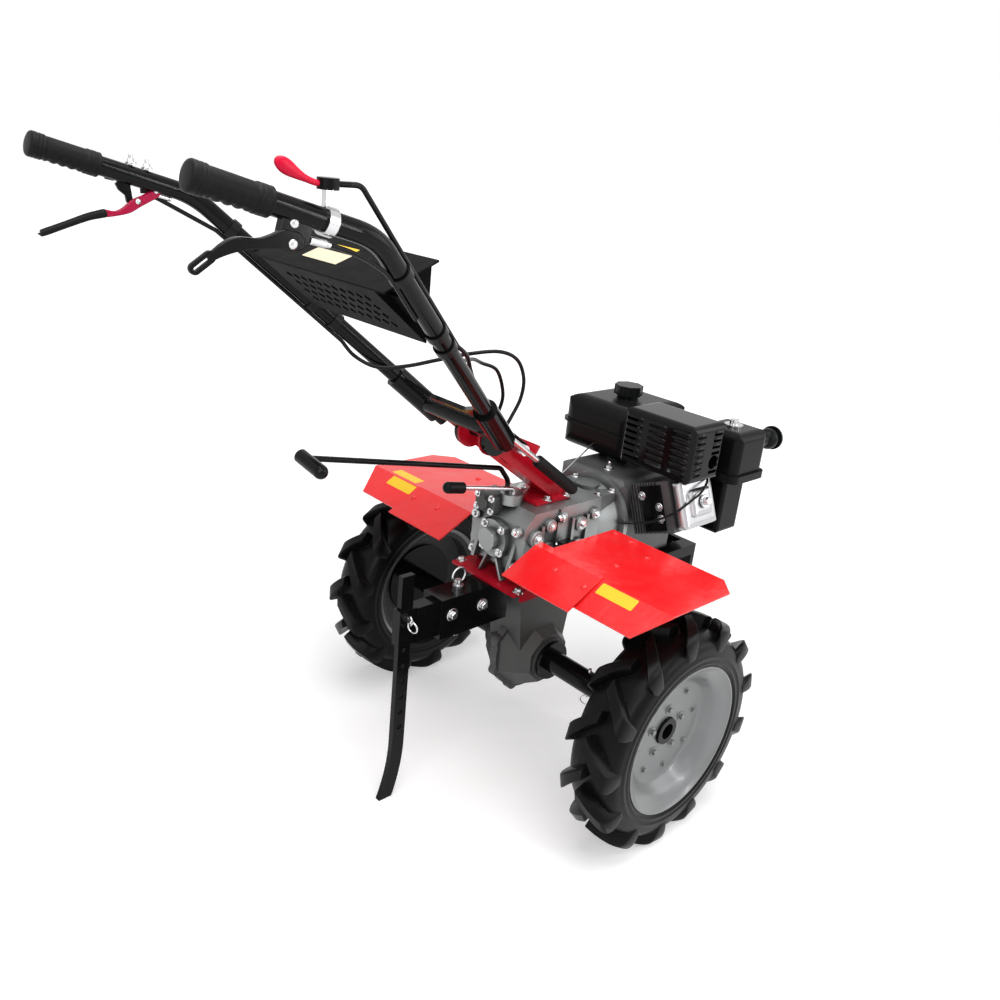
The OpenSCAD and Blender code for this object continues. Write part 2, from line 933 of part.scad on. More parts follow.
module muffler_guard() {
    a = [guard_x0, guard_y0, guard_z0];
    b = [guard_x0 + guard_l, guard_y1, guard_z0 + guard_h];
    w = [guard_t, guard_t, 0];
    columns = 3;
    y_step = (guard_y1 - guard_y0) / columns;
    z_step = (guard_h - 2 * guard_round) / louvre_rows;
    part(black) difference() {
        soft_box(a, b, guard_round);
        soft_box(a + w - [0, 0, 2 * guard_round], b - w - [0, 0, guard_t], guard_round - guard_t);
        for (i = [0:columns - 1], j = [0:louvre_rows - 1])
            translate([guard_x0 - cut, guard_y0 + y_step * (i + 0.5) - louvre_w / 2,
                guard_z0 + guard_round + z_step * (j + 0.5) - louvre_h / 2])
                cube([guard_t + 2 * cut, louvre_w, louvre_h]);
        for (j = [0:louvre_rows - 1], i = [0, 1])
            translate([guard_x0 + guard_l * (1 + 2 * i) / 4 - side_louvre_w / 2, guard_y0 - cut,
                guard_z0 + guard_round + z_step * (j + 0.5) - louvre_h / 2])
                cube([side_louvre_w, guard_t + 2 * cut, louvre_h]);
        translate([guard_x0 + guard_l * outlet_x_share, guard_y0 - cut, guard_z0 + guard_h * outlet_z_share])
            cyl_y(outlet_r, guard_t + 2 * cut);
    }
}

module muffler() {
    m = [muffler_inset, muffler_inset, muffler_inset];
    w = [muffler_wall, muffler_wall, muffler_wall];
    a = [guard_x0, guard_y0, guard_z0] + m;
    b = [guard_x0 + guard_l, guard_y1, guard_z0 + guard_h] - m;
    part(cast_grey) {
        difference() {
            soft_box(a, b, muffler_round);
            soft_box(a + w, b - w, muffler_round - muffler_wall);
        }
        difference() {
            on_cylinder() translate([0, fin_d / 2 + seat_gap, barrel_l - head_l / 2])
                cyl_y(exhaust_r, 2 * muffler_inset);
            soft_box(a + w, b - w, muffler_round - muffler_wall);
        }
        for (y = [a[1] + muffler_round, b[1] - muffler_round], z = [a[2] + muffler_round,
            b[2] - muffler_round])
            translate([guard_x0 + guard_t + seat_gap, y, z]) cyl_x(stay_r, muffler_inset - guard_t);
    }
}

module air_cleaner() {
    a = [cleaner_x0, cleaner_y0, cleaner_z0];
    b = [cleaner_x0 + cleaner_l, cleaner_y1, cleaner_z0 + cleaner_h];
    g = [cleaner_base_grow, cleaner_base_grow, 0];
    w = [cover_wall, cover_wall, cover_wall];
    part(black) difference() {
        union() {
            soft_box(a, b, cleaner_round);
            translate(a - g) linear_extrude(cleaner_base_h)
                rounded(cleaner_l + 2 * g[0], cleaner_y1 - cleaner_y0 + 2 * g[1], cleaner_round);
        }
        soft_box(a + w, b - w, cleaner_round - cover_wall);
    }
}

module air_cleaner_nut() {
    x = cleaner_x0 + cleaner_l / 2;
    y = (cleaner_y0 + cleaner_y1) / 2;
    part(chrome) translate([x, y, cleaner_z0 + cleaner_h + seat_gap]) {
        cylinder(h = washer_h, r = washer_r);
        cylinder(h = nut_h, r = nut_r);
        translate([-wing_l / 2, -wing_t / 2, 0]) cube([wing_l, wing_t, nut_h]);
    }
}

module air_intake() {
    x0 = cleaner_x0 + cleaner_l + seat_gap;
    l = intake_x - x0;
    part(black) translate([x0, intake_y, intake_z]) rotate([0, 90, 0]) rotate_extrude() intersection() {
        union() {
            square([intake_pipe_r, l]);
            translate([0, l]) circle(intake_r);
            translate([0, l + intake_r - 2 * bell_t]) square([bell_r, bell_t]);
        }
        square([bell_r + cut, l + intake_r + cut]);
    }
}

module carburettor() {
    head = cylinder_dir * (barrel_l - head_l / 2);
    x0 = cylinder_x + fin_w / 2 + seat_gap;
    part(black) {
        soft_box([carb_x0, carb_y0, carb_z0], [carb_x0 + carb_l, carb_y1, cleaner_z0 - seat_gap], carb_round);
        translate([x0, head[1], crank_z + head[2]]) cyl_x(manifold_r, carb_x0 + carb_round - x0);
    }
}

// Fender section in X and Z, from the front lip to the foot of the rear slope
function fender_line(dz) = [[fender_x1, fender_z - fender_lip + dz], [fender_x1, fender_z + dz],
    [fender_crease_x, fender_z + dz], [fender_rear_x, fender_z - fender_rear_drop + dz]];

module fender_profile() {
    t = fender_t;
    p = fender_line(0);
    polygon([p[0], p[1], p[2], p[3], p[3] - [-t / 2, t], p[2] - [0, t], p[1] - [t, t], p[0] - [t, 0]]);
}

module fender() {
    c = fender_cut;
    intersection() {
        translate([0, fender_out, 0]) rotate([90, 0, 0]) linear_extrude(fender_out - fender_in)
            fender_profile();
        linear_extrude(2 * fender_z) polygon([[fender_x1 + cut, fender_in - cut], [fender_x1 + cut,
            fender_out - c],
            [fender_x1 - c, fender_out + cut], [fender_crease_x, fender_out + cut],
            [fender_rear_x - cut, fender_out - c], [fender_rear_x - cut, fender_in - cut]]);
    }
}

module fender_skirt() {
    t = fender_t;
    x1 = fender_crease_x + skirt_lap;
    z1 = fender_z + t + seat_gap;
    slab_y([[x1, z1 - t], [x1, z1], [fender_crease_x, z1], [skirt_x0, z1 - skirt_drop],
        [skirt_x0 + t / 2, z1 - skirt_drop - t], [fender_crease_x, z1 - t]], skirt_in, skirt_out);
}

module fender_bracket() {
    z1 = fender_z - fender_t - seat_gap;
    t = plate_t;
    block([bracket_x - bracket_w / 2, plate_half + seat_gap, plate_top - plate_lip],
        [bracket_x + bracket_w / 2, plate_half + seat_gap + t, z1]);
    block([bracket_x - bracket_w / 2, plate_half + seat_gap, z1 - t],
        [bracket_x + bracket_w / 2, bracket_out, z1]);
}

module hitch_bracket() {
    z1 = hitch_top - seat_gap;
    x1 = -neck_top_w / 2 - 2 * hitch_wall;
    part(black) difference() {
        union() {
            block([tongue_x0, -tongue_half, z1 - tongue_h], [x1, tongue_half, z1]);
            block([-stake_back + stake_w / 2 + receiver_wall + receiver_gap + seat_gap, -tongue_half / 2,
                receiver_top - receiver_h], [tongue_x0 + cut, tongue_half / 2, receiver_top]);
        }
        translate([hitch_pin_x, 0, z1 - tongue_h - cut])
            cylinder(h = tongue_h + 2 * cut, r = pin_r + seat_gap);
    }
}

module hitch_pin() {
    z1 = hitch_top - seat_gap;
    part(chrome) translate([hitch_pin_x, 0, z1]) {
        translate([0, 0, -tongue_h - pin_rise]) cylinder(h = tongue_h + 2 * pin_rise, r = pin_r);
        translate([0, 0, seat_gap]) cylinder(h = pin_head_h, r = pin_head_r);
        translate([0, 0, pin_rise + ring_r - pin_r]) rotate([90, 0, 0]) rotate_extrude()
            translate([ring_r, 0]) circle(ring_wire_r);
    }
}

module stake_receiver() {
    g = receiver_gap;
    w = receiver_wall;
    a = [stake_w / 2 + g, stake_t / 2 + g];
    part(black) translate([-stake_back, 0, receiver_top - receiver_h]) difference() {
        block([-a[0] - w, -a[1] - w, 0], [a[0] + w, a[1] + w, receiver_h]);
        block([-a[0], -a[1], -cut], [a[0], a[1], receiver_h + cut]);
    }
}

module drag_stake() {
    part(black) difference() {
        translate([-stake_back, 0, 0]) union() {
            block([-stake_w / 2, -stake_t / 2, bend_z], [stake_w / 2, stake_t / 2, stake_l]);
            intersection() {
                translate([-bend_r, stake_t / 2, bend_z]) rotate([90, 0, 0]) linear_extrude(stake_t)
                    difference() {
                        circle(bend_r + stake_w / 2);
                        circle(bend_r - stake_w / 2);
                    }
                block([-bend_r, -stake_t, 0], [stake_w, stake_t, bend_z]);
            }
        }
        for (i = [0:hole_count - 1]) translate([-stake_back, -stake_t, hole_first_z + i * hole_step])
            cyl_y(hole_r, 2 * stake_t);
    }
}

// Turns X to run down the handle channel, from the pivot towards the gearbox
channel_angle = atan2(pivot_z - channel_z, channel_x - pivot_x);
channel_l = norm([channel_x - pivot_x, pivot_z - channel_z]);
channel_dir = [cos(channel_angle), 0, -sin(channel_angle)];
module down_channel() {
    translate([pivot_x, 0, pivot_z]) rotate([0, channel_angle, 0]) children();
}

module handle_bracket() {
    h = channel_half;
    t = channel_t;
    part(deep_red) difference() {
        union() {
            down_channel() {
                block([cheek_r + t, -h, -channel_depth / 2], [channel_l, h, -channel_depth / 2 + t]);
                both_sides() block([0, h - t, -channel_depth / 2], [channel_l, h, channel_depth / 2]);
                both_sides() translate([0, h - t, 0]) cyl_y(ear_r, t);
                block([stop_along - stop_l / 2, -h + cut, channel_depth / 2 - stop_t],
                    [stop_along + stop_l / 2, h - cut, channel_depth / 2 - seat_gap]);
                block([lug_along, -h + cut, -channel_depth / 2 + cut], [lug_along + lug_plate_t, h - cut,
                    lug_rise]);
            }
            block([channel_x - foot_l, -foot_half, gearbox_z1 + seat_gap],
                [channel_x + t, foot_half, gearbox_z1 + foot_t + seat_gap]);
        }
        translate([pivot_x, -h - cut, pivot_z]) cyl_y(hinge_r + run_gap, 2 * h + 2 * cut);
        block([channel_x - foot_l, -foot_half - cut, gearbox_z0], [channel_x + channel_l, foot_half + cut,
            gearbox_z1 + seat_gap]);
    }
}

module lock_lever() {
    part(chrome) down_channel() translate([0, -lock_y, lock_z]) {
        translate([lock_boss_along, 0, 0]) cyl_y(lock_boss_r, lock_y - channel_half - seat_gap);
        translate([-lock_up, 0, 0]) cyl_x(lock_rod_r, lock_l);
        translate([-lock_up - cut, 0, 0]) cyl_x(lock_head_r, lock_head_l);
    }
}

module lock_grip() {
    part(black) down_channel() translate([lock_l - lock_up + seat_gap, -lock_y, lock_z]) rotate([0, 90, 0])
        rotate_extrude() {
            square([lock_grip_r, lock_grip_l - lock_grip_r]);
            intersection() {
                translate([0, lock_grip_l - lock_grip_r]) circle(lock_grip_r);
                square([lock_grip_r, lock_grip_l]);
            }
        }
}

module gear_lever() {
    foot = [gear_low_x, gear_y, gearbox_z1 + tower_h + seat_gap];
    top = [gear_top_x, gear_y, gear_top_z];
    end = [gear_end_x, gear_y, gear_end_z];
    part(black) {
        bent_rod([foot, foot + [0, 0, gear_foot_h], top, end], gear_rod_r, gear_bend_r);
        knob(end + [0, gear_knob_r, 0], end - [0, gear_knob_l, gear_knob_drop], gear_knob_r);
    }
}

module side_lever() {
    part(chrome) bent_rod([side_foot, side_foot + [0, 0, side_foot_h], side_end], side_rod_r, side_bend_r);
}

module side_knob() {
    dir = unit(side_end - side_foot - [0, 0, side_foot_h]);
    part(black) knob(side_end + dir * seat_gap, side_end + dir * side_knob_l, side_knob_r);
}

cross_point = along(tube_low, tube_bend, cross_share);
tube_dir = unit(tube_bend - tube_low);

module handle_base() {
    c0 = channel_half + side_gap;
    sleeve_a = tube_low + tube_dir * gusset_low;
    sleeve_b = sleeve_a + tube_dir * sleeve_l;
    part(black) difference() {
        union() {
            rod(cross_point, flip(cross_point), cross_r);
            gusset();
            both_sides() {
                rod(sleeve_a, sleeve_b, sleeve_r);
                translate([pivot_x, c0, pivot_z]) cyl_y(cheek_r, cheek_t);
                cheek(c0);
            }
            translate([pivot_x, -c0 - cheek_t - hinge_proud, pivot_z])
                cyl_y(hinge_r, 2 * (c0 + cheek_t + hinge_proud));
        }
        both_sides() rod(sleeve_a - tube_dir * sleeve_r, sleeve_b + tube_dir * sleeve_r,
            tube_r + seat_gap / 2);
    }
}

// Half width between the tube middles, at a distance up the tube plane
function tube_half(up) = low_y + (bend_y - low_y) * up / norm([bend_x - low_x, bend_top_z - low_z]);

// Plate that ties the two sleeves in the plane of the tubes
module gusset() {
    slope = atan2(bend_top_z - low_z, bend_x - low_x);
    y0 = tube_half(gusset_low);
    gusset_out = gusset_low + sleeve_l - gusset_inset;
    y1 = tube_half(gusset_out);
    half = [[gusset_mid, gusset_half], [gusset_low, y0 - gusset_arm], [gusset_low, y0], [gusset_out, y1],
        [gusset_out, y1 - gusset_arm], [gusset_top, gusset_half]];
    translate([low_x, 0, low_z]) rotate([0, -slope, 0]) translate([0, 0, -gusset_t / 2])
        linear_extrude(gusset_t)
        polygon(concat(half, [for (i = [len(half) - 1:-1:0]) [half[i][0], -half[i][1]]]));
}

// Flat arm from the hinge to the cross tube
module cheek(y0) {
    dx = cross_point[0] - pivot_x;
    dz = cross_point[2] - pivot_z;
    translate([pivot_x, y0, pivot_z]) rotate([0, -atan2(dz, dx), 0])
        block([0, 0, -cheek_half], [norm([dx, dz]), cheek_t, cheek_half]);
}

module handle_tube() {
    bent_rod([tube_low, tube_bend, tube_end], tube_r, tube_bend_r);
}

module grip() {
    dir = grip_dir;
    outer = grip_end;
    inner = outer - dir * grip_l;
    difference() {
        union() {
            rod(inner, outer, grip_r);
            rod(inner, inner + dir * grip_ring_w, grip_ring_r);
            rod(outer - dir * grip_ring_w, outer, grip_ring_r);
        }
        rod(inner - dir * cut, tube_end + dir * seat_gap, tube_r + seat_gap / 2);
    }
}

// Half width that just clears the tubes at a place along X
function clear_half(x) = low_y + (x - low_x) * (bend_y - low_y) / (bend_x - low_x)
    - (tube_r + seat_gap) * norm([bend_x - low_x, bend_y - low_y]) / abs(bend_x - low_x);

// Triangle with each side moved in by t
function shrink(tri, t) =
    let (a = norm(tri[1] - tri[2]), b = norm(tri[2] - tri[0]), c = norm(tri[0] - tri[1]))
    let (middle = (tri[0] * a + tri[1] * b + tri[2] * c) / (a + b + c))
    let (twice_area = abs(cross(tri[1] - tri[0], tri[2] - tri[0])))
    [for (q = tri) middle + (q - middle) * (1 - t * (a + b + c) / twice_area)];

// Sheet wedge between the tubes: sloping top plate, closed front and a lattice underneath
module console() {
    t = console_t;
    rear = [bend_x + console_set, bend_top_z - console_drop];
    top = rear + [console_l, console_rise];
    low = top - [0, console_depth];
    front_side = clear_half(top[0]);
    slope = atan2(bend_top_z - low_z, bend_x - low_x);
    ear = [for (i = ear_shares) (rear[0] + console_l * i - low_x) / cos(slope)];
    part(black) {
        both_sides() translate([low_x, 0, low_z]) rotate([0, -slope, 0]) translate([0, 0, -ear_t / 2])
            linear_extrude(ear_t) polygon([[ear[0], console_side - cut], [ear[1], console_side - cut],
                [ear[1], clear_half(low_x + ear[1] * cos(slope))],
                [ear[0], clear_half(low_x + ear[0] * cos(slope))]]);
        difference() {
            slab_y([rear, top, low], -console_side, console_side);
            slab_y(shrink([rear, top, low], t), -console_side + t, console_side - t);
            translate([rear[0], 0, rear[1]]) rotate([0, atan2(rear[1] - low[1], low[0] - rear[0]), 0])
                for (i = [0:lattice_rows - 1], j = [0:lattice_columns - 1])
                    translate([lattice_first + i * lattice_step,
                        (j - (lattice_columns - 1) / 2) * lattice_step, -cut]) rotate([0, 0, 45])
                        translate([-lattice_s / 2, -lattice_s / 2, 0]) cube([lattice_s, lattice_s,
                            t + 2 * cut]);
        }
        intersection() {
            plate_y(-reach, 2 * reach) bar(rear, top, t);
            linear_extrude(2 * grip_z) polygon([[rear[0] - t, -console_rear_side], [top[0], -front_side],
                [top[0], front_side], [rear[0] - t, console_rear_side]]);
        }
    }
}

// Place on the straight hand stretch of the tube at a given X
function on_tube(x) = along(tube_bend, tube_end, (x - bend_x) / (tube_end[0] - bend_x));

// Stamped clamp under a tube, with a plate for its lever
module lever_clamp(x) {
    p = on_tube(x);
    dir = grip_dir;
    l = lever_clamp_l;
    difference() {
        union() {
            rod(p - dir * l / 2, p + dir * l / 2, lever_clamp_r);
            plate_y(p[1] - lever_t / 2, lever_t) translate([p[0], p[2]]) polygon([[-l / 2, 0], [l / 2, 0],
                [l / 2, -lever_drop], [0, -lever_drop - lever_eye_r / 2], [-lever_eye_r, -lever_drop],
                    [-l / 3, -l / 2]]);
        }
        rod(p - dir * l, p + dir * l, tube_r + seat_gap / 2);
    }
}

// Flat bar in an outline, between two places
module bar(a, b, w) {
    d = b - a;
    translate(a) rotate(atan2(d[1], d[0])) translate([0, -w / 2]) square([norm(d), w]);
}

// Outline in X and Z, as a plate of some thickness from y0
module plate_y(y0, t) {
    translate([0, y0 + t, 0]) rotate([90, 0, 0]) linear_extrude(t) children();
}

// Pin of a lever in X and Z, low on the plate of its clamp
function lever_pin(x) = [on_tube(x)[0], on_tube(x)[2] - lever_drop + lever_eye_r / 2];

// Outline of a bar from a to b that bulges to its left by sag, with a round end at each
module curved_bar(a, b, a_r, b_r, sag, w) {
    chord = norm(b - a);
    r = chord * chord / sag / 8 + sag / 2;
    side = [a[1] - b[1], b[0] - a[0]] / chord;
    c = (a + b) / 2 - side * (r - sag);
    intersection() {
        translate(c) difference() {
            circle(r + w / 2);
            circle(r - w / 2);
        }
        polygon([c, c + (a - c) * 2, (a + b) / 2 + side * r, c + (b - c) * 2]);
    }
    translate(a) circle(a_r);
    translate(b) circle(b_r);
}

module clutch_lever() {
    pin = lever_pin(clutch_x);
    tip = pin - [clutch_l, clutch_fall] + [lever_clamp_l / 2, 0];
    top = pin + [lever_clamp_l / 2, lever_eye_r];
    part(deep_red) plate_y(on_tube(clutch_x)[1] + lever_t / 2 + seat_gap, lever_t) {
        translate(pin) circle(lever_eye_r);
        translate(top) circle(lever_eye_r / 2);
        bar(pin, top, lever_arm_w);
        bar(pin, tip, clutch_bar_w);
    }
}

module clutch_lever_end() {
    pin = lever_pin(clutch_x);
    y = on_tube(clutch_x)[1] + lever_t + seat_gap;
    tip = pin - [clutch_l, clutch_fall] + [lever_clamp_l / 2, 0];
    dir = unit([tip[0] - pin[0], 0, tip[1] - pin[1]]);
    from = [tip[0], y, tip[1]] + dir * seat_gap;
    part(black) knob(from, from + dir * clutch_end_l, clutch_end_r);
}

module reverse_lever() {
    pin = lever_pin(reverse_x);
    tip = pin - [reverse_l, reverse_fall];
    turn = 2 * atan(2 * reverse_sag / norm(pin - tip));
    chord = atan2(pin[1] - tip[1], pin[0] - tip[0]);
    slot_dir = [cos(chord + turn), sin(chord + turn)];
    part(black) right_side() plate_y(on_tube(reverse_x)[1] + lever_t / 2 + seat_gap, lever_t) difference() {
        curved_bar(tip, pin, lever_tip_r, lever_eye_r, reverse_sag, lever_bar_w);
        bar(tip, tip + slot_dir * slot_l, slot_w);
    }
}

// Band round the tube with a post that carries the throttle
module throttle_clamp() {
    p = on_tube(throttle_x);
    w = throttle_clamp_w / 2;
    part(chrome) right_side() difference() {
        union() {
            rod(p - grip_dir * w, p + grip_dir * w, lever_clamp_r);
            block(p + [-throttle_post_w / 2, -throttle_post_w / 2, 0],
                p + [throttle_post_w / 2, throttle_post_w / 2, lever_clamp_r + throttle_post]);
        }
        rod(p - grip_dir * 2 * w, p + grip_dir * 2 * w, tube_r + seat_gap / 2);
    }
}

throttle_top = on_tube(throttle_x) + [0, 0, lever_clamp_r + throttle_post + seat_gap];

module throttle_body() {
    part(black) right_side() translate(throttle_top) {
        cylinder(h = throttle_body_h, r = throttle_body_r);
        translate([0, 0, throttle_body_h / 2]) cyl_x(run_r, throttle_body_r + run_lead);
    }
}

module throttle_lever() {
    eye = [throttle_top[0], throttle_top[2] + throttle_body_h / 2];
    tip = eye + [-throttle_l, throttle_rise];
    part(red) right_side() difference() {
        plate_y(throttle_top[1] - lever_t / 2, lever_t) {
            translate(tip) circle(throttle_paddle_r);
            bar(eye, tip, throttle_bar_w);
        }
        translate(throttle_top - [0, 0, throttle_body_h]) cylinder(h = 3 * throttle_body_h,
            r = throttle_body_r + seat_gap);
    }
}

// Route with smooth bends through a few points, as many steps to each stretch
function smooth_point(a, b, c, d, u) = (2 * b + (c - a) * u + (2 * a - 5 * b + 4 * c - d) * u * u
    + (3 * b - a - 3 * c + d) * u * u * u) / 2;
function smooth_route(p, steps) = let (n = len(p) - 1)
    concat([for (i = [0:n - 1], k = [0:steps - 1]) smooth_point(p[max(i - 1, 0)], p[i], p[i + 1],
        p[min(i + 2, n)], k / steps)], [p[n]]);

// Direction across the route at each point, carried along without a twist
function carry(dirs, i, side) = i == len(dirs) ? []
    : let (next = unit(side - dirs[i] * (side * dirs[i]))) concat([next], carry(dirs, i + 1, next));

// Round cable along a route
module cable(points) {
    p = smooth_route(points, cable_steps);
    n = len(p);
    dirs = [for (i = [0:n - 1]) unit(p[min(i + 1, n - 1)] - p[max(i - 1, 0)])];
    sides = carry(dirs, 0, [0, 1, 0]);
    polyhedron([for (i = [0:n - 1], k = [0:cable_sides - 1]) let (a = k * 360 / cable_sides)
        p[i] + cable_r * (sides[i] * cos(a) + cross(dirs[i], sides[i]) * sin(a))],
        concat([[for (k = [0:cable_sides - 1]) k]],
            [for (i = [0:n - 2], k = [0:cable_sides - 1]) let (m = (k + 1) % cable_sides)
                [i * cable_sides + k, (i + 1) * cable_sides + k, (i + 1) * cable_sides + m,
                    i * cable_sides + m]],
            [[for (k = [cable_sides - 1:-1:0]) (n - 1) * cable_sides + k]]));
}

// Normal of the tube plane, upwards, and the direction across the left tube, inwards
plane_up = unit([bend_top_z - low_z, 0, low_x - bend_x]);
inward = unit(cross(plane_up, tube_bend - tube_low));
tube_down = -tube_dir;

// Place in the middle of the left tube at a given X, and on its side, turned about the tube from its top
function on_slope(x) = along(tube_low, tube_bend, (x - low_x) / (bend_x - low_x));
function off_tube(turn) = plane_up * cos(turn) + inward * sin(turn);
function beside_tube(x, turn) = on_slope(x) + (tube_r + run_r + seat_gap) * off_tube(turn);

// Where a cable leaves its last clip, as two points, and where it meets the stop or the lug
function leave(x, turn) = [beside_tube(x, turn) + tube_down * cable_gap,
    beside_tube(x, turn) + tube_down * cable_lead + off_tube(turn) * cable_lift];
function channel_place(a, y, z) = [pivot_x, y, pivot_z] + a * channel_dir
    + z * [-channel_dir[2], 0, channel_dir[0]];
function meet_stop(y) = [for (d = [cable_lead, cable_gap]) channel_place(stop_along, y,
    channel_depth / 2 + d)];
meet_lug = [for (d = [cable_lead, cable_gap]) channel_place(lug_along - d, 0, lug_hold)];

clutch_route = concat(leave(clutch_run_low_x, clutch_turn), clutch_loop, meet_stop(-stop_y));
reverse_route = concat(flip_all(leave(control_run_low_x, reverse_turn)), reverse_loop, meet_stop(stop_y));
throttle_route = concat(flip_all(leave(control_run_low_x, throttle_turn)), throttle_loop, meet_lug);

// Held cable down the left tube, from where a lever lets it out
module run(from, lead, end_x, turn) {
    bent_rod([from, from + lead * run_lead, beside_tube(run_top_x, turn), beside_tube(end_x, turn)],
        run_r, run_bend);
}

// Straps that close round the left tube down to a given X
module clips(end_x) {
    for (i = clip_shares) {
        c = on_slope(run_top_x + (end_x - run_top_x) * i);
        difference() {
            rod(c, c + tube_down * clip_l, tube_r + clip_t);
            rod(c - tube_down * cut, c + tube_down * (clip_l + cut), tube_r + seat_gap);
        }
    }
}

module clutch_run() {
    from = on_tube(clutch_x + lever_clamp_l / 2 + lever_eye_r) - [0, 0, lever_clamp_r + run_r];
    part(black) {
        run(from, -grip_dir, clutch_run_low_x, clutch_turn);
        clips(clutch_run_low_x);
    }
}

module control_run() {
    reverse_from = on_tube(reverse_x + lever_clamp_l / 2 + lever_eye_r) - [0, lever_clamp_r + run_r, 0];
    throttle_from = throttle_top + [throttle_body_r + run_lead + seat_gap, 0, throttle_body_h / 2];
    part(black) right_side() {
        run(reverse_from, -grip_dir, control_run_low_x, reverse_turn);
        run(throttle_from, [1, 0, 0], control_run_low_x, throttle_turn);
        clips(control_run_low_x);
    }
}

part(rubber) tyre();  // tyre_left
part(rubber) right_side() tyre();  // tyre_right
part(rim_grey) rim();  // rim_left
part(rim_grey) right_side() rim();  // rim_right
part(black) axle();  // axle_left
part(black) right_side() axle();  // axle_right
final_drive();
gearbox();
gearbox_cover();
clutch_housing();
base_plate();
engine_frame();
engine_block();
valve_cover();
air_guide();
fan_shroud();
recoil_starter();
fuel_tank();
tank_cap();
muffler_guard();
muffler();
air_cleaner();
air_intake();
air_cleaner_nut();
carburettor();
part(red) fender();  // fender_left
part(red) right_side() fender();  // fender_right
part(red) fender_skirt();  // fender_skirt_left
part(red) right_side() fender_skirt();  // fender_skirt_right
part(black) fender_bracket();  // fender_bracket_left
part(black) right_side() fender_bracket();  // fender_bracket_right
hitch_bracket();
hitch_pin();
stake_receiver();
drag_stake();
handle_bracket();
lock_lever();
lock_grip();
gear_lever();
side_lever();
side_knob();
handle_base();
part(black) handle_tube();  // handle_tube_left
part(black) right_side() handle_tube();  // handle_tube_right
part(rubber) grip();  // grip_left
part(rubber) right_side() grip();  // grip_right
console();
part(black) lever_clamp(clutch_x);  // clutch_bracket
clutch_lever();
clutch_lever_end();
part(black) right_side() lever_clamp(reverse_x);  // reverse_bracket
reverse_lever();
throttle_clamp();
throttle_body();
throttle_lever();
clutch_run();
control_run();
part(black) cable(clutch_route);  // clutch_cable
part(black) cable(reverse_route);  // reverse_cable
part(black) cable(throttle_route);  // throttle_cable
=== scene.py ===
# %% [markdown]
# # A hand tractor, dressed for its portrait
# The machine is a walk-behind tractor: two lugged wheels, a gearbox, an open petrol engine and a
# long handlebar. Its solids come packed in one frame, in metres, with +X forward, +Y to the
# operator's left and +Z up. This lesson gives every solid a finish, draws the tyres, rims, grips, hand
# levers and free cables again in finer shape, and adds the small parts that a photograph shows, such
# as bolts and labels.

import bpy
import numpy as np
from mathutils import Matrix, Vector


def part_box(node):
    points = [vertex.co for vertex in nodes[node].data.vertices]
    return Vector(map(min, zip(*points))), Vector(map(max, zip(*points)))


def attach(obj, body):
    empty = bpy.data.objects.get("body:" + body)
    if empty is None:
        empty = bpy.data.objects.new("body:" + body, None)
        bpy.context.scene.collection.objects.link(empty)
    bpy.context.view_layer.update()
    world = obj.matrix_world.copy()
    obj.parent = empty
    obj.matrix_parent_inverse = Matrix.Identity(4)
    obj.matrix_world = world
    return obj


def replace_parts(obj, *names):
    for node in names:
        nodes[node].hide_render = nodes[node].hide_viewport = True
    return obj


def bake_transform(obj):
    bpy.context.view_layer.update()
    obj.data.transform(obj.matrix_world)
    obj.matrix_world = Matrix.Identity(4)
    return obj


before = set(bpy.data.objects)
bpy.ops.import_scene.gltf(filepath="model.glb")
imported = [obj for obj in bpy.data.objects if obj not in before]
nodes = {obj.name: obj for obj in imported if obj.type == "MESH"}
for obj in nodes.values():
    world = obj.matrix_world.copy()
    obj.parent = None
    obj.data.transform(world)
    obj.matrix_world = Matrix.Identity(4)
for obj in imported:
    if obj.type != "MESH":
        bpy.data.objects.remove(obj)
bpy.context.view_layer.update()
scene = bpy.context.scene

# %% [markdown]
# ## Camera
# The photograph looks down at the machine from behind and from its right, with the camera rolled
# a little. A camera is easiest to place by its two angles: the direction back to the eye gives its
# Z axis, a level vector across gives its X axis, and the roll turns both about Z. Solving for the
# angles from a few known corners is more reliable than turning the view by hand.

# %% Camera at the photograph's angle
AXLE_X, _, AXLE_Z = np.mean(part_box("rim_left"), axis=0)
EYE = np.array([AXLE_X - 1.2989, -1.1816, 1.2289])
AZIMUTH, ELEVATION, ROLL = 0.78756, 0.36506, 0.10374
FOCAL_PX, PICTURE_PX, SENSOR_MM, FAR_CLIP = 920.59, 1000, 36.0, 50


def unit(vector):
    """Vector, or each row of an array, scaled to length 1."""
    vector = np.asarray(vector, dtype=float)
    return vector / np.linalg.norm(vector, axis=-1, keepdims=True)


def put(name, data, axes=np.eye(3), spot=(0, 0, 0)):
    """New object in the scene, with its axes given as columns and its origin at a spot."""
    pose = np.eye(4)
    pose[:3, :3] = axes
    pose[:3, 3] = spot
    made = bpy.data.objects.new(name, data)
    made.matrix_world = Matrix(pose.tolist())
    scene.collection.objects.link(made)
    return made


def camera_axes(azimuth, elevation, roll):
    """Columns X, Y, Z: Z points back from the scene, X is level before the roll turns it about Z."""
    level = np.cos(elevation)
    back = np.array([-level * np.cos(azimuth), -level * np.sin(azimuth), np.sin(elevation)])
    across = unit([-back[1], back[0], 0.0])
    up = np.cross(back, across)
    c, s = np.cos(roll), np.sin(roll)
    return np.column_stack([c * across + s * up, c * up - s * across, back])


camera_data = bpy.data.cameras.new("camera")
camera_data.sensor_width = SENSOR_MM
camera_data.lens = FOCAL_PX / PICTURE_PX * SENSOR_MM
camera_data.clip_end = FAR_CLIP
scene.camera = put("camera", camera_data, camera_axes(AZIMUTH, ELEVATION, ROLL), EYE)
print("lens:", round(camera_data.lens, 2), "mm")

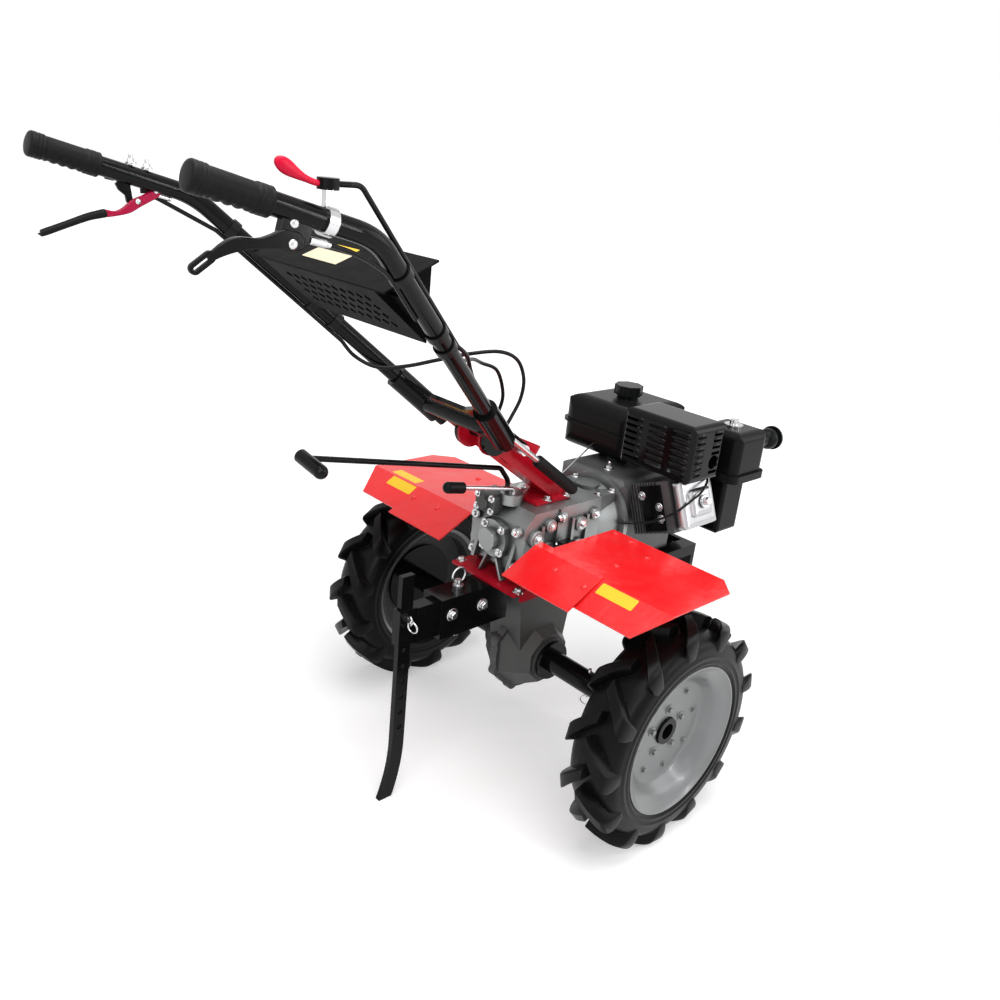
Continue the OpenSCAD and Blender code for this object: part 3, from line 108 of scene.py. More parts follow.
# %% [markdown]
# ## Floor and light
# The machine stands on a white floor with a soft shadow under each wheel. The floor adds a share of
# plain white for the camera to a diffuse surface that the lamps light, so the white stays even to
# the horizon and the shadow still shows. The share grows with the distance, because the lamps reach
# less far out. The world does the same behind it. Large soft lamps and a low world light keep every
# colour near the value that it is written with, and two narrow strips draw thin highlights on gloss.

# %% White floor and world
FLOOR_HALF, FLOOR_GREY = 20.0, (0.8, 0.8, 0.8, 1)
FLOOR_GLOW_NEAR, FLOOR_GLOW_FAR = 0.36, 1.0
GLOW_START, GLOW_END = 0.9, 3.6
WORLD_LIGHT = 0.27


def add_node(tree, kind, **values):
    """New shader node of a kind, with its properties or input sockets set by name."""
    node = tree.nodes.new("ShaderNode" + kind)
    for key, value in values.items():
        if hasattr(node, key):
            setattr(node, key, value)
        else:
            node.inputs[key.replace("_", " ")].default_value = value
    return node


def wire(tree, *pairs):
    """Links from an output socket to an input socket, one for each pair."""
    for output, entry in pairs:
        tree.links.new(output, entry)


def combine(tree, operation, first, second):
    """Output of a math node on two linked values."""
    node = add_node(tree, "Math", operation=operation)
    wire(tree, (first, node.inputs[0]), (second, node.inputs[1]))
    return node.outputs[0]


def seen_straight(tree):
    """Mask that is 1 for rays from the camera, a mirror or a glass, and 0 for diffuse light."""
    path = add_node(tree, "LightPath").outputs
    both = combine(tree, "MAXIMUM", path["Is Camera Ray"], path["Is Glossy Ray"])
    return combine(tree, "MAXIMUM", both, path["Is Transmission Ray"])


def floor_material():
    """Pale diffuse floor that also glows for straight rays, so that it reads as white."""
    material = bpy.data.materials.new("white_floor")
    material.use_nodes = True
    tree = material.node_tree
    tree.nodes.clear()
    matt = add_node(tree, "BsdfDiffuse", Color=FLOOR_GREY)
    glow = add_node(tree, "Emission")
    spot = add_node(tree, "TexCoord")
    reach = add_node(tree, "VectorMath", operation="LENGTH")
    level = add_node(tree, "MapRange", From_Min=GLOW_START, From_Max=GLOW_END,
                     To_Min=FLOOR_GLOW_NEAR, To_Max=FLOOR_GLOW_FAR)
    total = add_node(tree, "AddShader")
    out = add_node(tree, "OutputMaterial")
    wire(tree, (spot.outputs["Object"], reach.inputs[0]), (reach.outputs["Value"], level.inputs["Value"]))
    share = combine(tree, "MULTIPLY", seen_straight(tree), level.outputs["Result"])
    wire(tree, (share, glow.inputs["Strength"]), (matt.outputs[0], total.inputs[0]),
         (glow.outputs[0], total.inputs[1]), (total.outputs[0], out.inputs["Surface"]))
    return material


corners = np.array([[-1, -1, 0], [1, -1, 0], [1, 1, 0], [-1, 1, 0]], dtype=float) * FLOOR_HALF
floor_mesh = bpy.data.meshes.new("floor")
floor_mesh.from_pydata(corners.tolist(), [], [[0, 1, 2, 3]])
floor_mesh.materials.append(floor_material())
floor = put("floor", floor_mesh)

world = bpy.data.worlds.new("white_room")
world.use_nodes = True
scene.world = world
world_tree = world.node_tree
backdrop = world_tree.nodes["Background"]
backdrop.inputs["Color"].default_value = (1, 1, 1, 1)
level = add_node(world_tree, "MapRange", To_Min=WORLD_LIGHT, To_Max=1.0)
wire(world_tree, (seen_straight(world_tree), level.inputs["Value"]),
     (level.outputs["Result"], backdrop.inputs["Strength"]))
scene.view_settings.view_transform = "Standard"
print("floor and world ready")

# %% Soft lamps


def soft_lamp(name, spot, target, width, height, watts):
    """Area lamp at a spot, turned so that its -Z axis points at the target and its width lies level."""
    data = bpy.data.lights.new(name, "AREA")
    data.energy = watts
    data.shape = "RECTANGLE"
    data.size, data.size_y = width, height
    back = unit(np.subtract(spot, target))
    across = unit(np.cross([0, 0, 1], back))
    return put(name, data, np.column_stack([across, np.cross(back, across), back]), spot)


soft_lamp("top_lamp", (-0.3, -0.4, 3.2), (0, 0, 0.4), 2.2, 2.2, 76)
soft_lamp("rear_lamp", (-2.6, -1.4, 1.9), (0, 0, 0.5), 1.6, 1.6, 26)
soft_lamp("front_lamp", (2.2, -1.8, 1.6), (0.2, 0, 0.5), 1.6, 1.6, 17)
soft_lamp("high_strip", (-1.3, -1.9, 2.7), (-0.2, 0, 0.8), 2.4, 0.09, 20)
soft_lamp("side_strip", (0.9, -2.3, 1.5), (0.2, 0, 0.5), 0.09, 1.6, 14)

# %% [markdown]
# ## Shared surface effects
# Paint, castings, plastic and rubber differ in colour, but they share small effects: a fine grain,
# slow changes of tone, rubbed edges, painted shade in corners and a little dust on what faces up.
# Each effect is one shader group with named sockets, so a finish only says how much of it there is.
# The groups read Object coordinates, which are metres here, so a scale is in features per metre.

# %% Node groups for grain, worn edges, dust and painted corner shade


def shader_group(name, inputs, outputs):
    """Empty shader group with float sockets; returns the group, its input node and its output node."""
    group = bpy.data.node_groups.new(name, "ShaderNodeTree")
    for label, value in inputs:
        socket = group.interface.new_socket(name=label, in_out="INPUT", socket_type="NodeSocketFloat")
        socket.default_value = value
    for label in outputs:
        group.interface.new_socket(name=label, in_out="OUTPUT", socket_type="NodeSocketFloat")
    return group, group.nodes.new("NodeGroupInput"), group.nodes.new("NodeGroupOutput")


def grain_group():
    """Height is fine noise; Tone is slow noise, both 0 to 1 about a middle of a half."""
    scales = [("Fine Scale", 900.0), ("Slow Scale", 9.0)]
    group, start, end = shader_group("surface_grain", scales, ["Height", "Tone"])
    spot = add_node(group, "TexCoord")
    fine = add_node(group, "TexNoise", Detail=3.0, Roughness=0.6)
    slow = add_node(group, "TexNoise", Detail=5.0, Roughness=0.55)
    for texture, scale, result in ((fine, "Fine Scale", "Height"), (slow, "Slow Scale", "Tone")):
        wire(group, (spot.outputs["Object"], texture.inputs["Vector"]),
             (start.outputs[scale], texture.inputs["Scale"]), (texture.outputs["Fac"], end.inputs[result]))
    return group


def ranged(tree, value, low, high):
    """Output that goes from 0 to 1 while a linked value goes from low to high."""
    node = add_node(tree, "MapRange", From_Min=low, From_Max=high)
    wire(tree, (value, node.inputs["Value"]))
    return node.outputs["Result"]


def clouds(tree, low, high, **values):
    """Noise in Object coordinates, stretched so that low becomes 0 and high becomes 1."""
    spot = add_node(tree, "TexCoord")
    noise = add_node(tree, "TexNoise", **values)
    wire(tree, (spot.outputs["Object"], noise.inputs["Vector"]))
    return ranged(tree, noise.outputs["Fac"], low, high)


def edge_group():
    """Mask grows where the surface normal differs from the normal smoothed over a small radius."""
    group, start, end = shader_group("worn_edges", [("Radius", 0.003), ("Amount", 1.0)], ["Mask"])
    smooth = add_node(group, "Bevel", samples=6)
    face = add_node(group, "NewGeometry")
    same = add_node(group, "VectorMath", operation="DOT_PRODUCT")
    wire(group, (start.outputs["Radius"], smooth.inputs["Radius"]),
         (smooth.outputs["Normal"], same.inputs[0]), (face.outputs["Normal"], same.inputs[1]))
    turn = ranged(group, same.outputs["Value"], 0.985, 0.8)
    broken = combine(group, "MULTIPLY", turn, clouds(group, 0.45, 0.62, Scale=140.0, Detail=4.0))
    wire(group, (combine(group, "MULTIPLY", broken, start.outputs["Amount"]), end.inputs["Mask"]))
    return group


def dust_group():
    """Mask is the upward part of the normal times cloudy noise."""
    group, start, end = shader_group("settled_dust", [("Amount", 0.2)], ["Mask"])
    face = add_node(group, "NewGeometry")
    parts = add_node(group, "SeparateXYZ")
    wire(group, (face.outputs["Normal"], parts.inputs[0]))
    upward = ranged(group, parts.outputs["Z"], 0.3, 1.0)
    cloud = clouds(group, 0.42, 0.75, Scale=26.0, Detail=8.0, Roughness=0.7)
    both = combine(group, "MULTIPLY", upward, cloud)
    wire(group, (combine(group, "MULTIPLY", both, start.outputs["Amount"]), end.inputs["Mask"]))
    return group


def corner_shade_group():
    """Mask grows where near surfaces hide a point from the open; it paints shade into corners."""
    group, start, end = shader_group("painted_corner_shade", [("Amount", 0.5)], ["Mask"])
    open_share = add_node(group, "AmbientOcclusion", samples=6, Distance=0.03)
    hidden = ranged(group, open_share.outputs["AO"], 0.9, 0.35)
    wire(group, (combine(group, "MULTIPLY", hidden, start.outputs["Amount"]), end.inputs["Mask"]))
    return group


GRAIN, EDGES, DUST, CORNER_SHADE = grain_group(), edge_group(), dust_group(), corner_shade_group()
print("groups:", [g.name for g in (GRAIN, EDGES, DUST, CORNER_SHADE)])

# %% [markdown]
# ## Finishes
# Every finish is the same chain with its own values: a colour that drifts a little with the slow
# tone, bare metal or paler rubber showing at worn edges, dust on top, painted shade in corners, a
# roughness that follows the tone, and a bump from the fine grain. Only the values that change over
# the surface are linked; metal, coat and gloss that are even sit on the shader's own sockets.

# %% One function for a finish
COAT_ROUGH, SHEEN_DRIFT = 0.12, 0.2


def finish(name, color, rough, metal=0.0, coat=0.0, gloss=0.5, fine=900.0, slow=9.0, drift=0.12, bump=0.15,
           depth=0.0004, waves=0.0, wear=0.0, wear_color=(0.4, 0.4, 0.4), wear_radius=0.003, dust=0.0,
           dust_color=(0.35, 0.33, 0.3), corner_shade=0.0, corner_shade_color=(0.02, 0.02, 0.02)):
    """Procedural finish: colour times (1 +- drift), mixed to worn and dusty colours and to painted corner
    shade by masks.
    """
    material = bpy.data.materials.new(name)
    material.use_nodes = True
    tree = material.node_tree
    shader = tree.nodes["Principled BSDF"]
    for socket, value in (("Metallic", metal), ("Specular IOR Level", gloss), ("Coat Weight", coat),
                          ("Coat Roughness", COAT_ROUGH)):
        shader.inputs[socket].default_value = value
    grain = add_node(tree, "Group", node_tree=GRAIN, Fine_Scale=fine, Slow_Scale=slow)
    darker, lighter = [c * (1 - drift) for c in color], [min(c * (1 + drift), 1) for c in color]
    tone = add_node(tree, "Mix", data_type="RGBA", A=(*darker, 1), B=(*lighter, 1))
    wire(tree, (grain.outputs["Tone"], tone.inputs["Factor"]))
    result = tone.outputs["Result"]
    # The last layer darkens corners with painted shade.
    layers = ((EDGES, wear, wear_color), (DUST, dust, dust_color), (CORNER_SHADE, corner_shade, corner_shade_color))
    for group, amount, other in layers:
        if amount == 0:
            continue
        mask = add_node(tree, "Group", node_tree=group, Amount=amount)
        if group == EDGES:
            mask.inputs["Radius"].default_value = wear_radius
        over = add_node(tree, "Mix", data_type="RGBA", B=(*other, 1))
        wire(tree, (mask.outputs["Mask"], over.inputs["Factor"]), (result, over.inputs["A"]))
        result = over.outputs["Result"]
    sheen = add_node(tree, "MapRange", To_Min=rough * (1 - SHEEN_DRIFT),
                     To_Max=min(rough * (1 + SHEEN_DRIFT), 1))
    relief = add_node(tree, "Bump", Strength=bump, Distance=depth)
    if waves:
        swell = add_node(tree, "Bump", Strength=1.0, Distance=waves)
        wire(tree, (grain.outputs["Tone"], swell.inputs["Height"]),
             (swell.outputs["Normal"], relief.inputs["Normal"]))
    wire(tree, (result, shader.inputs["Base Color"]), (grain.outputs["Tone"], sheen.inputs["Value"]),
         (sheen.outputs["Result"], shader.inputs["Roughness"]),
         (grain.outputs["Height"], relief.inputs["Height"]),
         (relief.outputs["Normal"], shader.inputs["Normal"]))
    return material


# %% The finishes of this machine


def grey(level):
    """Colour with three equal parts."""
    return (level, level, level)


CASTING = dict(metal=0.2, gloss=0.25, slow=14, drift=0.25, wear=0.6, dust=0.06)
PLASTIC = dict(fine=1500, bump=0.25, depth=0.0003, wear=0.3, wear_color=(0.025, 0.025, 0.027), dust=0.02)
fender_red = finish(
    "fender_red", (0.76, 0.011, 0.014), 0.22, coat=0.2, gloss=0.3, fine=420, slow=11, drift=0.06,
    bump=0.06, waves=0.004, wear=0.5, wear_color=(0.9, 0.16, 0.12), wear_radius=0.002, dust=0.04)
frame_red = finish(
    "frame_red", (0.42, 0.006, 0.018), 0.26, coat=0.06, gloss=0.12, fine=420, drift=0.1, bump=0.1,
    wear=0.6, wear_color=(0.5, 0.05, 0.07), wear_radius=0.002, dust=0.03)
black_paint = finish(
    "black_paint", (0.004, 0.004, 0.0044), 0.12, gloss=0.12, fine=700, drift=0.2, bump=0.1, wear=0.35,
    wear_color=(0.03, 0.03, 0.032), wear_radius=0.002, dust=0.015)
black_plastic = finish("black_plastic", (0.0042, 0.0046, 0.0046), 0.26, gloss=0.08, drift=0.15, **PLASTIC)
console_black = finish("console_black", (0.004, 0.0044, 0.0042), 0.55, gloss=0.03, drift=0.2, **PLASTIC)
lever_red = finish(
    "lever_red", (0.36, 0.007, 0.045), 0.24, coat=0.05, gloss=0.12, fine=500, drift=0.08, bump=0.08,
    wear=0.5, wear_color=(0.5, 0.06, 0.12), wear_radius=0.0015)
switch_red = finish("switch_red", (0.60, 0.005, 0.035), 0.28, gloss=0.15, drift=0.06, bump=0.06)
cast_iron = finish(
    "cast_iron", (0.045, 0.046, 0.048), 0.5, fine=520, bump=0.35, depth=0.0006, wear_color=grey(0.15),
    **CASTING)
# The corner darkening of drive_grey, engine_grey, cast_aluminium and rim_silver is painted shade.
drive_grey = finish(
    "drive_grey", (0.07, 0.072, 0.07), 0.5, fine=420, bump=0.4, depth=0.0007, wear_color=grey(0.22),
    corner_shade=0.5, **CASTING)
engine_grey = finish(
    "engine_grey", (0.10, 0.10, 0.102), 0.46, metal=0.45, gloss=0.3, fine=700, slow=16, drift=0.25,
    bump=0.35, depth=0.0005, wear=0.6, wear_color=grey(0.3), wear_radius=0.002, dust=0.04, corner_shade=0.6)
cast_aluminium = finish(
    "cast_aluminium", (0.27, 0.28, 0.28), 0.38, metal=0.8, fine=650, slow=16, drift=0.28, bump=0.4,
    depth=0.0006, wear=0.5, wear_color=grey(0.62), dust=0.05, corner_shade=0.85, corner_shade_color=grey(0.03))
rim_silver = finish(
    "rim_silver", (0.19, 0.194, 0.196), 0.32, metal=0.3, coat=0.15, gloss=0.3, drift=0.08, bump=0.08,
    wear=0.4, wear_color=grey(0.42), dust=0.04, corner_shade=0.4, corner_shade_color=grey(0.08))
tyre_rubber = finish(
    "tyre_rubber", (0.0034, 0.0034, 0.0036), 0.32, gloss=0.1, fine=800, slow=18, drift=0.35, bump=0.4,
    depth=0.0005, wear=0.5, wear_color=grey(0.024), wear_radius=0.005, dust=0.02,
    dust_color=(0.1, 0.098, 0.095))
grip_rubber = finish(
    "grip_rubber", (0.0075, 0.0075, 0.0078), 0.45, gloss=0.09, fine=1400, slow=30, drift=0.2, bump=0.3,
    wear=0.5, wear_color=grey(0.06), wear_radius=0.0015, dust=0.04)
bright_steel = finish(
    "bright_steel", (0.58, 0.58, 0.59), 0.24, metal=1.0, fine=1800, slow=40, drift=0.1, bump=0.08)
polished_alu = finish(
    "polished_alu", (0.45, 0.45, 0.46), 0.3, metal=1.0, fine=1200, slow=24, drift=0.14, bump=0.12,
    waves=0.0006, wear=0.4, wear_color=grey(0.75))
label_yellow = finish(
    "label_yellow", (0.80, 0.50, 0.02), 0.4, gloss=0.3, fine=2500, drift=0.05, bump=0.05)
label_cream = finish("label_cream", (0.66, 0.58, 0.42), 0.45, gloss=0.3, fine=2500, drift=0.06, bump=0.05)
cable_black = finish(
    "cable_black", (0.005, 0.005, 0.0054), 0.3, gloss=0.14, fine=2200, slow=30, drift=0.2, bump=0.1)
print("finishes:", len(bpy.data.materials))

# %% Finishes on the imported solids
FINISH_NODES = (
    (tyre_rubber, "tyre"), (rim_silver, "rim"), (drive_grey, "final_drive"), (engine_grey, "engine_block"),
    (cast_aluminium, "gearbox clutch_housing"), (frame_red, "base_plate handle_bracket"),
    (fender_red, "fender"), (polished_alu, "valve_cover"), (cast_iron, "muffler"),
    (black_plastic, "fan_shroud recoil_starter fuel_tank tank_cap air_cleaner air_intake carburettor"),
    (black_plastic, "side_knob throttle_body"), (console_black, "console"),
    (black_paint, "axle engine_frame air_guide muffler_guard fender_bracket hitch_bracket gear_lever"),
    (black_paint, "stake_receiver drag_stake handle_base handle_tube clutch_bracket reverse"),
    (bright_steel, "air_cleaner_nut hitch_pin lock_lever side_lever throttle_clamp"),
    (grip_rubber, "lock_grip grip clutch_lever_end"), (lever_red, "clutch_lever"),
    (switch_red, "throttle_lever"),
    (cable_black, "clutch_run control_run clutch_cable reverse_cable throttle_cable"),
)
NODE_FINISH = {key: material for material, keys in FINISH_NODES for key in keys.split()}


def finish_of(name):
    """Finish whose key starts the node's name; the longest key wins."""
    keys = [key for key in NODE_FINISH if name.startswith(key)]
    return NODE_FINISH[max(keys, key=len)]


for name, solid in nodes.items():
    solid.data.materials.clear()
    solid.data.materials.append(finish_of(name))
print("dressed solids:", len(nodes))

# %% [markdown]
# ## Surfaces from rings of points
# Bolts, cables, grips and labels are all one idea: a row of rings, each a closed loop of points, with
# faces between neighbouring rings and one over each end. A turned part has round rings about an axis,
# a cable has round rings square to its path, and a label has two rings that are its outline. Working
# the rings out as whole arrays keeps the code short, and the points land where the solids are.

# %% Helpers for rings, turned parts and swept parts
MM = 0.001
AXLE_UP = AXLE_Z / MM
SIDES = (("left", 1), ("right", -1))
FORWARD, BACK, RIGHT, UP = (1, 0, 0), (-1, 0, 0), (0, -1, 0), (0, 0, 1)


def place(*xyz):
    """Millimetres forward of the axle, left of the middle and up from the floor, as metres in the frame."""
    return MM * np.array(xyz, dtype=float) + [AXLE_X, 0, 0]


def axes_along(axis):
    """Right-handed unit axes whose third one is the given direction."""
    along = unit(axis)
    across = unit(np.cross(np.eye(3)[np.argmin(np.abs(along))], along))
    return across, np.cross(along, across), along


def shell(grid, loop=False):
    """Quads between neighbouring rings of a grid, whose ends are closed by faces or joined in a loop."""
    rows, columns = grid.shape[:2]
    index = np.arange(rows * columns).reshape(rows, columns)
    first, last = (index, np.roll(index, -1, axis=0)) if loop else (index[:-1], index[1:])
    quads = np.stack([first, np.roll(first, -1, axis=1), np.roll(last, -1, axis=1), last], axis=-1)
    ends = [] if loop else [index[:1, ::-1], index[-1:]]
    return grid.reshape(-1, 3), [quads.reshape(-1, 4)] + ends


def full_turn(sides):
    """Even angles once round, in radians."""
    return np.linspace(0, 2 * np.pi, sides, endpoint=False)


def turned(profile, centre, axis, sides=24, loop=False):
    """Profile of (radius, height) turned about an axis, open or a closed loop that runs anticlockwise."""
    across, over, along = axes_along(axis)
    angle = full_turn(sides)[:, None]
    radius, height = np.array(profile, dtype=float).T[:, :, None, None]
    spoke = np.cos(angle) * across + np.sin(angle) * over
    return shell(centre + radius * spoke + height * along, loop)


def circle(radius, sides=12):
    """Points of a circle, anticlockwise."""
    angle = full_turn(sides)
    return radius * np.column_stack([np.cos(angle), np.sin(angle)])


def rounded(width, height, radius, steps=5):
    """Outline of a rectangle with quarter circles at its corners, anticlockwise."""
    angle = full_turn(4 * steps) + np.pi / (4 * steps)
    arc = np.column_stack([np.cos(angle), np.sin(angle)])
    return radius * arc + np.sign(arc) * (np.array([width, height]) / 2 - radius)


def swept(path, outline, loop=False):
    """Outline of (side, up) offsets carried along a path; each ring stands square to the path there."""
    path = np.asarray(path, dtype=float)
    ahead = np.roll(path, -1, axis=0) - np.roll(path, 1, axis=0) if loop else np.gradient(path, axis=0)
    ahead = unit(ahead)
    side = unit(np.cross(np.eye(3)[np.argmin(np.abs(ahead).max(axis=0))], ahead))
    up = np.cross(ahead, side)
    outline = np.broadcast_to(outline, (len(path),) + np.shape(outline)[-2:])
    return shell(path[:, None] + outline[..., :1] * side[:, None] + outline[..., 1:] * up[:, None], loop)


def plate(outline, centre, across, up, thick, bevel=0.8):
    """Flat plate in millimetres: two full outlines between two rings pulled in by the bevel."""
    line = np.array(outline, dtype=float)
    ahead = unit(np.roll(line, -1, axis=0) - line)
    left = np.column_stack([-ahead[:, 1], ahead[:, 0]])
    before = np.roll(left, 1, axis=0)
    inward = (left + before) / np.clip(1 + (left * before).sum(axis=1, keepdims=True), 0.4, None)
    pull = bevel * np.array([1, 0, 0, 1])[:, None, None]
    level = np.array([-thick / 2, bevel - thick / 2, thick / 2 - bevel, thick / 2])[:, None, None]
    flat = line + pull * inward
    solid = flat[..., :1] * across + flat[..., 1:] * up + level * np.cross(across, up)
    return shell(centre + MM * solid)


def piece(name, shells, material, body=None, sharp=35):
    """One mesh object from many shells, smooth but for edges sharper than an angle in degrees."""
    starts = np.cumsum([0] + [len(points) for points, _ in shells])
    faces = [face for (_, blocks), start in zip(shells, starts) for block in blocks
             for face in (block + start).tolist()]
    mesh = bpy.data.meshes.new(name)
    mesh.from_pydata(np.vstack([points for points, _ in shells]).tolist(), [], faces)
    mesh.shade_smooth()
    mesh.set_sharp_from_angle(angle=np.radians(sharp))
    mesh.materials.append(material)
    made = put(name, mesh)
    if body:
        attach(made, body)
    return made


print("helpers ready; axle at", round(float(AXLE_X), 4), round(float(AXLE_Z), 4))

# %% [markdown]
# ## Control cables
# Three cables hang in loops from the clips on the handle tubes to the handle bracket. A real cable is
# a steel wire in a stiff black jacket, so it bows in one smooth curve and never kinks. The curve goes
# through a few points by the Catmull-Rom rule, the same as in the solids. These cables are not
# attached to the handlebar, so they keep the one shape drawn here.

# %% Free cables
CABLE_D = 0.007
ROUTES = {
    "clutch_lead": ("clutch_cable", [
        (-395.6, 153.7, 887.2), (-373.4, 144.1, 861.0), (-345, 116, 846), (-305, 84, 852),
        (-265, 48, 868), (-222, 12, 884), (-176, -14, 890), (-136, -20, 874), (-114, -20, 838),
        (-114, -18, 800), (-132.6, -18, 767.0), (-152.7, -18, 738.2)]),
    "reverse_lead": ("reverse_cable", [
        (-418.5, -155.8, 947.3), (-392.0, -142.5, 927.9), (-354, -112, 908), (-306, -72, 898),
        (-258, -38, 888), (-214, -12, 872), (-160, 4, 850), (-130, 14, 802), (-132.6, 18, 767.0),
        (-152.7, 18, 738.2)]),
    "throttle_lead": ("throttle_cable", [
        (-411.5, -168.9, 949.5), (-383.0, -159.3, 930.8), (-340, -124, 895), (-285, -82, 850),
        (-225, -42, 805), (-160, -8, 759), (-97.1, 0, 716.6), (-68.3, 0, 696.6)]),
}


def smooth_path(points, steps=10):
    """Catmull-Rom curve: the slope at a point is half the step between its two neighbours."""
    p = np.vstack([points[:1], points, points[-1:]])
    a, b, c, d = p[:-3], p[1:-2], p[2:-1], p[3:]
    t = np.linspace(0, 1, steps, endpoint=False)[:, None, None]
    curve = b + t / 2 * (c - a + t * (2 * a - 5 * b + 4 * c - d + t * (3 * b - a - 3 * c + d)))
    return np.vstack([curve.transpose(1, 0, 2).reshape(-1, p.shape[1]), points[-1:]])


def cable(name, route, diameter, body=None):
    """Cord in a black jacket along the smooth curve through a route; returns it and the route's points."""
    points = np.array([place(*p) for p in route])
    path = smooth_path(points)
    lead = piece(name, [swept(path, circle(diameter / 2))], cable_black, body)
    return lead, points


for name, (solid, route) in ROUTES.items():
    lead, points = cable(name, route, CABLE_D)
    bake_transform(lead)
    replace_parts(lead, solid)

# %% [markdown]
# ## Bolts and pins
# Small fasteners tell the size of a machine. Each bolt is a six-sided head with a chamfered crown on a
# round washer; a coach bolt is a low dome. They are turned from short profiles, sunk a little into
# what carries them so that no gap shows, and those of one place are one piece.

# %% Wheel bolts and axle pins
DISC_Y, HUB_BOLT, DISH_BOLT = 381.0, 6.0, 4.6
HUB_CIRCLE, DISH_CIRCLE = (46, 5, 18), (84, 8, 10)  # radius, number of bolts and first angle
PIN_Y, PIN_HALF, PIN_R = 185, 33, 4
LOOP_DROP, LOOP_AXIS, LOOP_R, LOOP_WIRE = 41, (1, 0.5, 0.2), 12, 1.6


def hex_bolt(centre, axis, size):
    """Washer and six-sided head, for a head of a given half width over its corners in millimetres."""
    s = size * MM
    disc = [(1.65 * s, -0.3 * s), (1.65 * s, 0.16 * s), (1.55 * s, 0.26 * s)]
    head = [(s, 0), (s, 1.0 * s), (0.84 * s, 1.2 * s)]
    return [turned(disc, centre, axis, 20), turned(head, centre, axis, 6)]


def dome_bolt(centre, axis, size):
    """Low dome: radius times cosine, height times sine, over a short sunk foot."""
    s = size * MM
    a = np.radians([0, 20, 40, 60, 78])
    dome = np.column_stack([s * np.cos(a), 0.55 * s * np.sin(a)])
    return [turned(np.vstack([[s, -0.3 * s], dome]), centre, axis, 18)]


def bolts_at(spots, axis, size, head=hex_bolt):
    """Heads of one size and direction at many places in millimetres."""
    return [part for spot in spots for part in head(place(*spot), axis, size)]


def ring(centre, axis, radius, thick):
    """Wire ring: a circle of radius thick swept along a circle."""
    across, over, _ = axes_along(axis)
    loop = circle(radius * MM, 28)
    return swept(centre + loop[:, :1] * across + loop[:, 1:] * over, circle(thick * MM, 8), loop=True)


def round_bar(a, b, radius, sides=14):
    """Straight bar from a to b with slightly rounded ends."""
    r, length = radius * MM, float(np.linalg.norm(b - a))
    profile = [(0.7 * r, 0), (r, 0.3 * r), (r, length - 0.3 * r), (0.7 * r, length)]
    return turned(profile, a, b - a, sides)


def wheel_spots(side, radius, count, first):
    """Places on the outer face of a wheel disc: count points on a circle about the axle."""
    angle = np.radians(first + np.arange(count) * 360 / count)
    y = np.full(count, side * DISC_Y)
    return np.column_stack([radius * np.cos(angle), y, AXLE_UP + radius * np.sin(angle)])


for side_name, side in SIDES:
    out, wheel = (0, side, 0), f"wheel_{side_name}"
    bolts = bolts_at(wheel_spots(side, *HUB_CIRCLE), out, HUB_BOLT)
    bolts += bolts_at(wheel_spots(side, *DISH_CIRCLE), out, DISH_BOLT)
    piece(f"wheel_bolts_{side_name}", bolts, rim_silver, wheel)
    y = side * PIN_Y
    pin = [round_bar(place(0, y, AXLE_UP - PIN_HALF), place(0, y, AXLE_UP + PIN_HALF), PIN_R),
           ring(place(0, y, AXLE_UP - LOOP_DROP), LOOP_AXIS, LOOP_R, LOOP_WIRE)]
    piece(f"axle_pin_{side_name}", pin, bright_steel, wheel)
print("wheel fasteners ready")

# %% [markdown]
# ## Tyres and rims
# The tyre is a field tyre: a round carcass with thick lugs that start at the middle of the tread, swing
# back and fold over the shoulder. A lug is a bar with a sloped section, so its grid blends from a
# wide foot inside the carcass to a narrow top along one curve, and the turn about the axle comes last.
# The carcass and the deep rim are closed profiles turned about the axle, and a thin dark liner over the
# inner side of the rim is painted shade: the rim is silver there too, only in shadow.

# %% Tyre carcass and rim dish
TRACK_HALF, TREAD_R, LUGS, WHEEL_SIDES = 371.0, 225.0, 13, 128
SIDE = np.array([(149, 49), (153, 52.5), (157, 54), (158.5, 55.2), (161, 55.4), (162.5, 54.6),
                 (169, 54.6), (170.5, 55.6), (173, 55.6), (174.5, 54.8), (184, 54.4), (193, 52),
                 (200, 46.5), (205, 37), (207.5, 20)])
CARCASS = np.vstack([SIDE * [1, -1], [(208, 0)], SIDE[::-1], [(141, 38), (141, -38)]])
RIM = np.array([(28, 10), (60, 10), (97, 10.3), (104, 12), (110, 17), (118, 31), (125, 38.5), (137, 45),
                (145.5, 50), (149, 53.5), (151.6, 53.5), (152.6, 50.5), (148, 46), (134, 37), (131, 30),
                (131, -30), (134, -37), (148, -42.5), (152.6, -45.5), (152, -48), (149.5, -48),
                (146, -45), (138, -41), (128, -35), (127, -27), (127, 0), (112, 6), (97, 6),
                (28, 6)])[::-1]
# The liner is a dark sheet on the inner barrel and the back of the disc: painted shade.
SHADE_LINER = np.array([(28, 5.4), (97, 5.4), (111.6, 5.4), (126.4, -0.6), (126.4, -27.2), (127.4, -35.4),
                  (137.6, -41.6), (138.2, -40.6), (128.4, -34.6), (127.6, -27), (127.6, 0.2),
                  (112, 6.6), (97, 6.6), (28, 6.6)])
print("carcass points:", len(CARCASS), "rim points:", len(RIM))

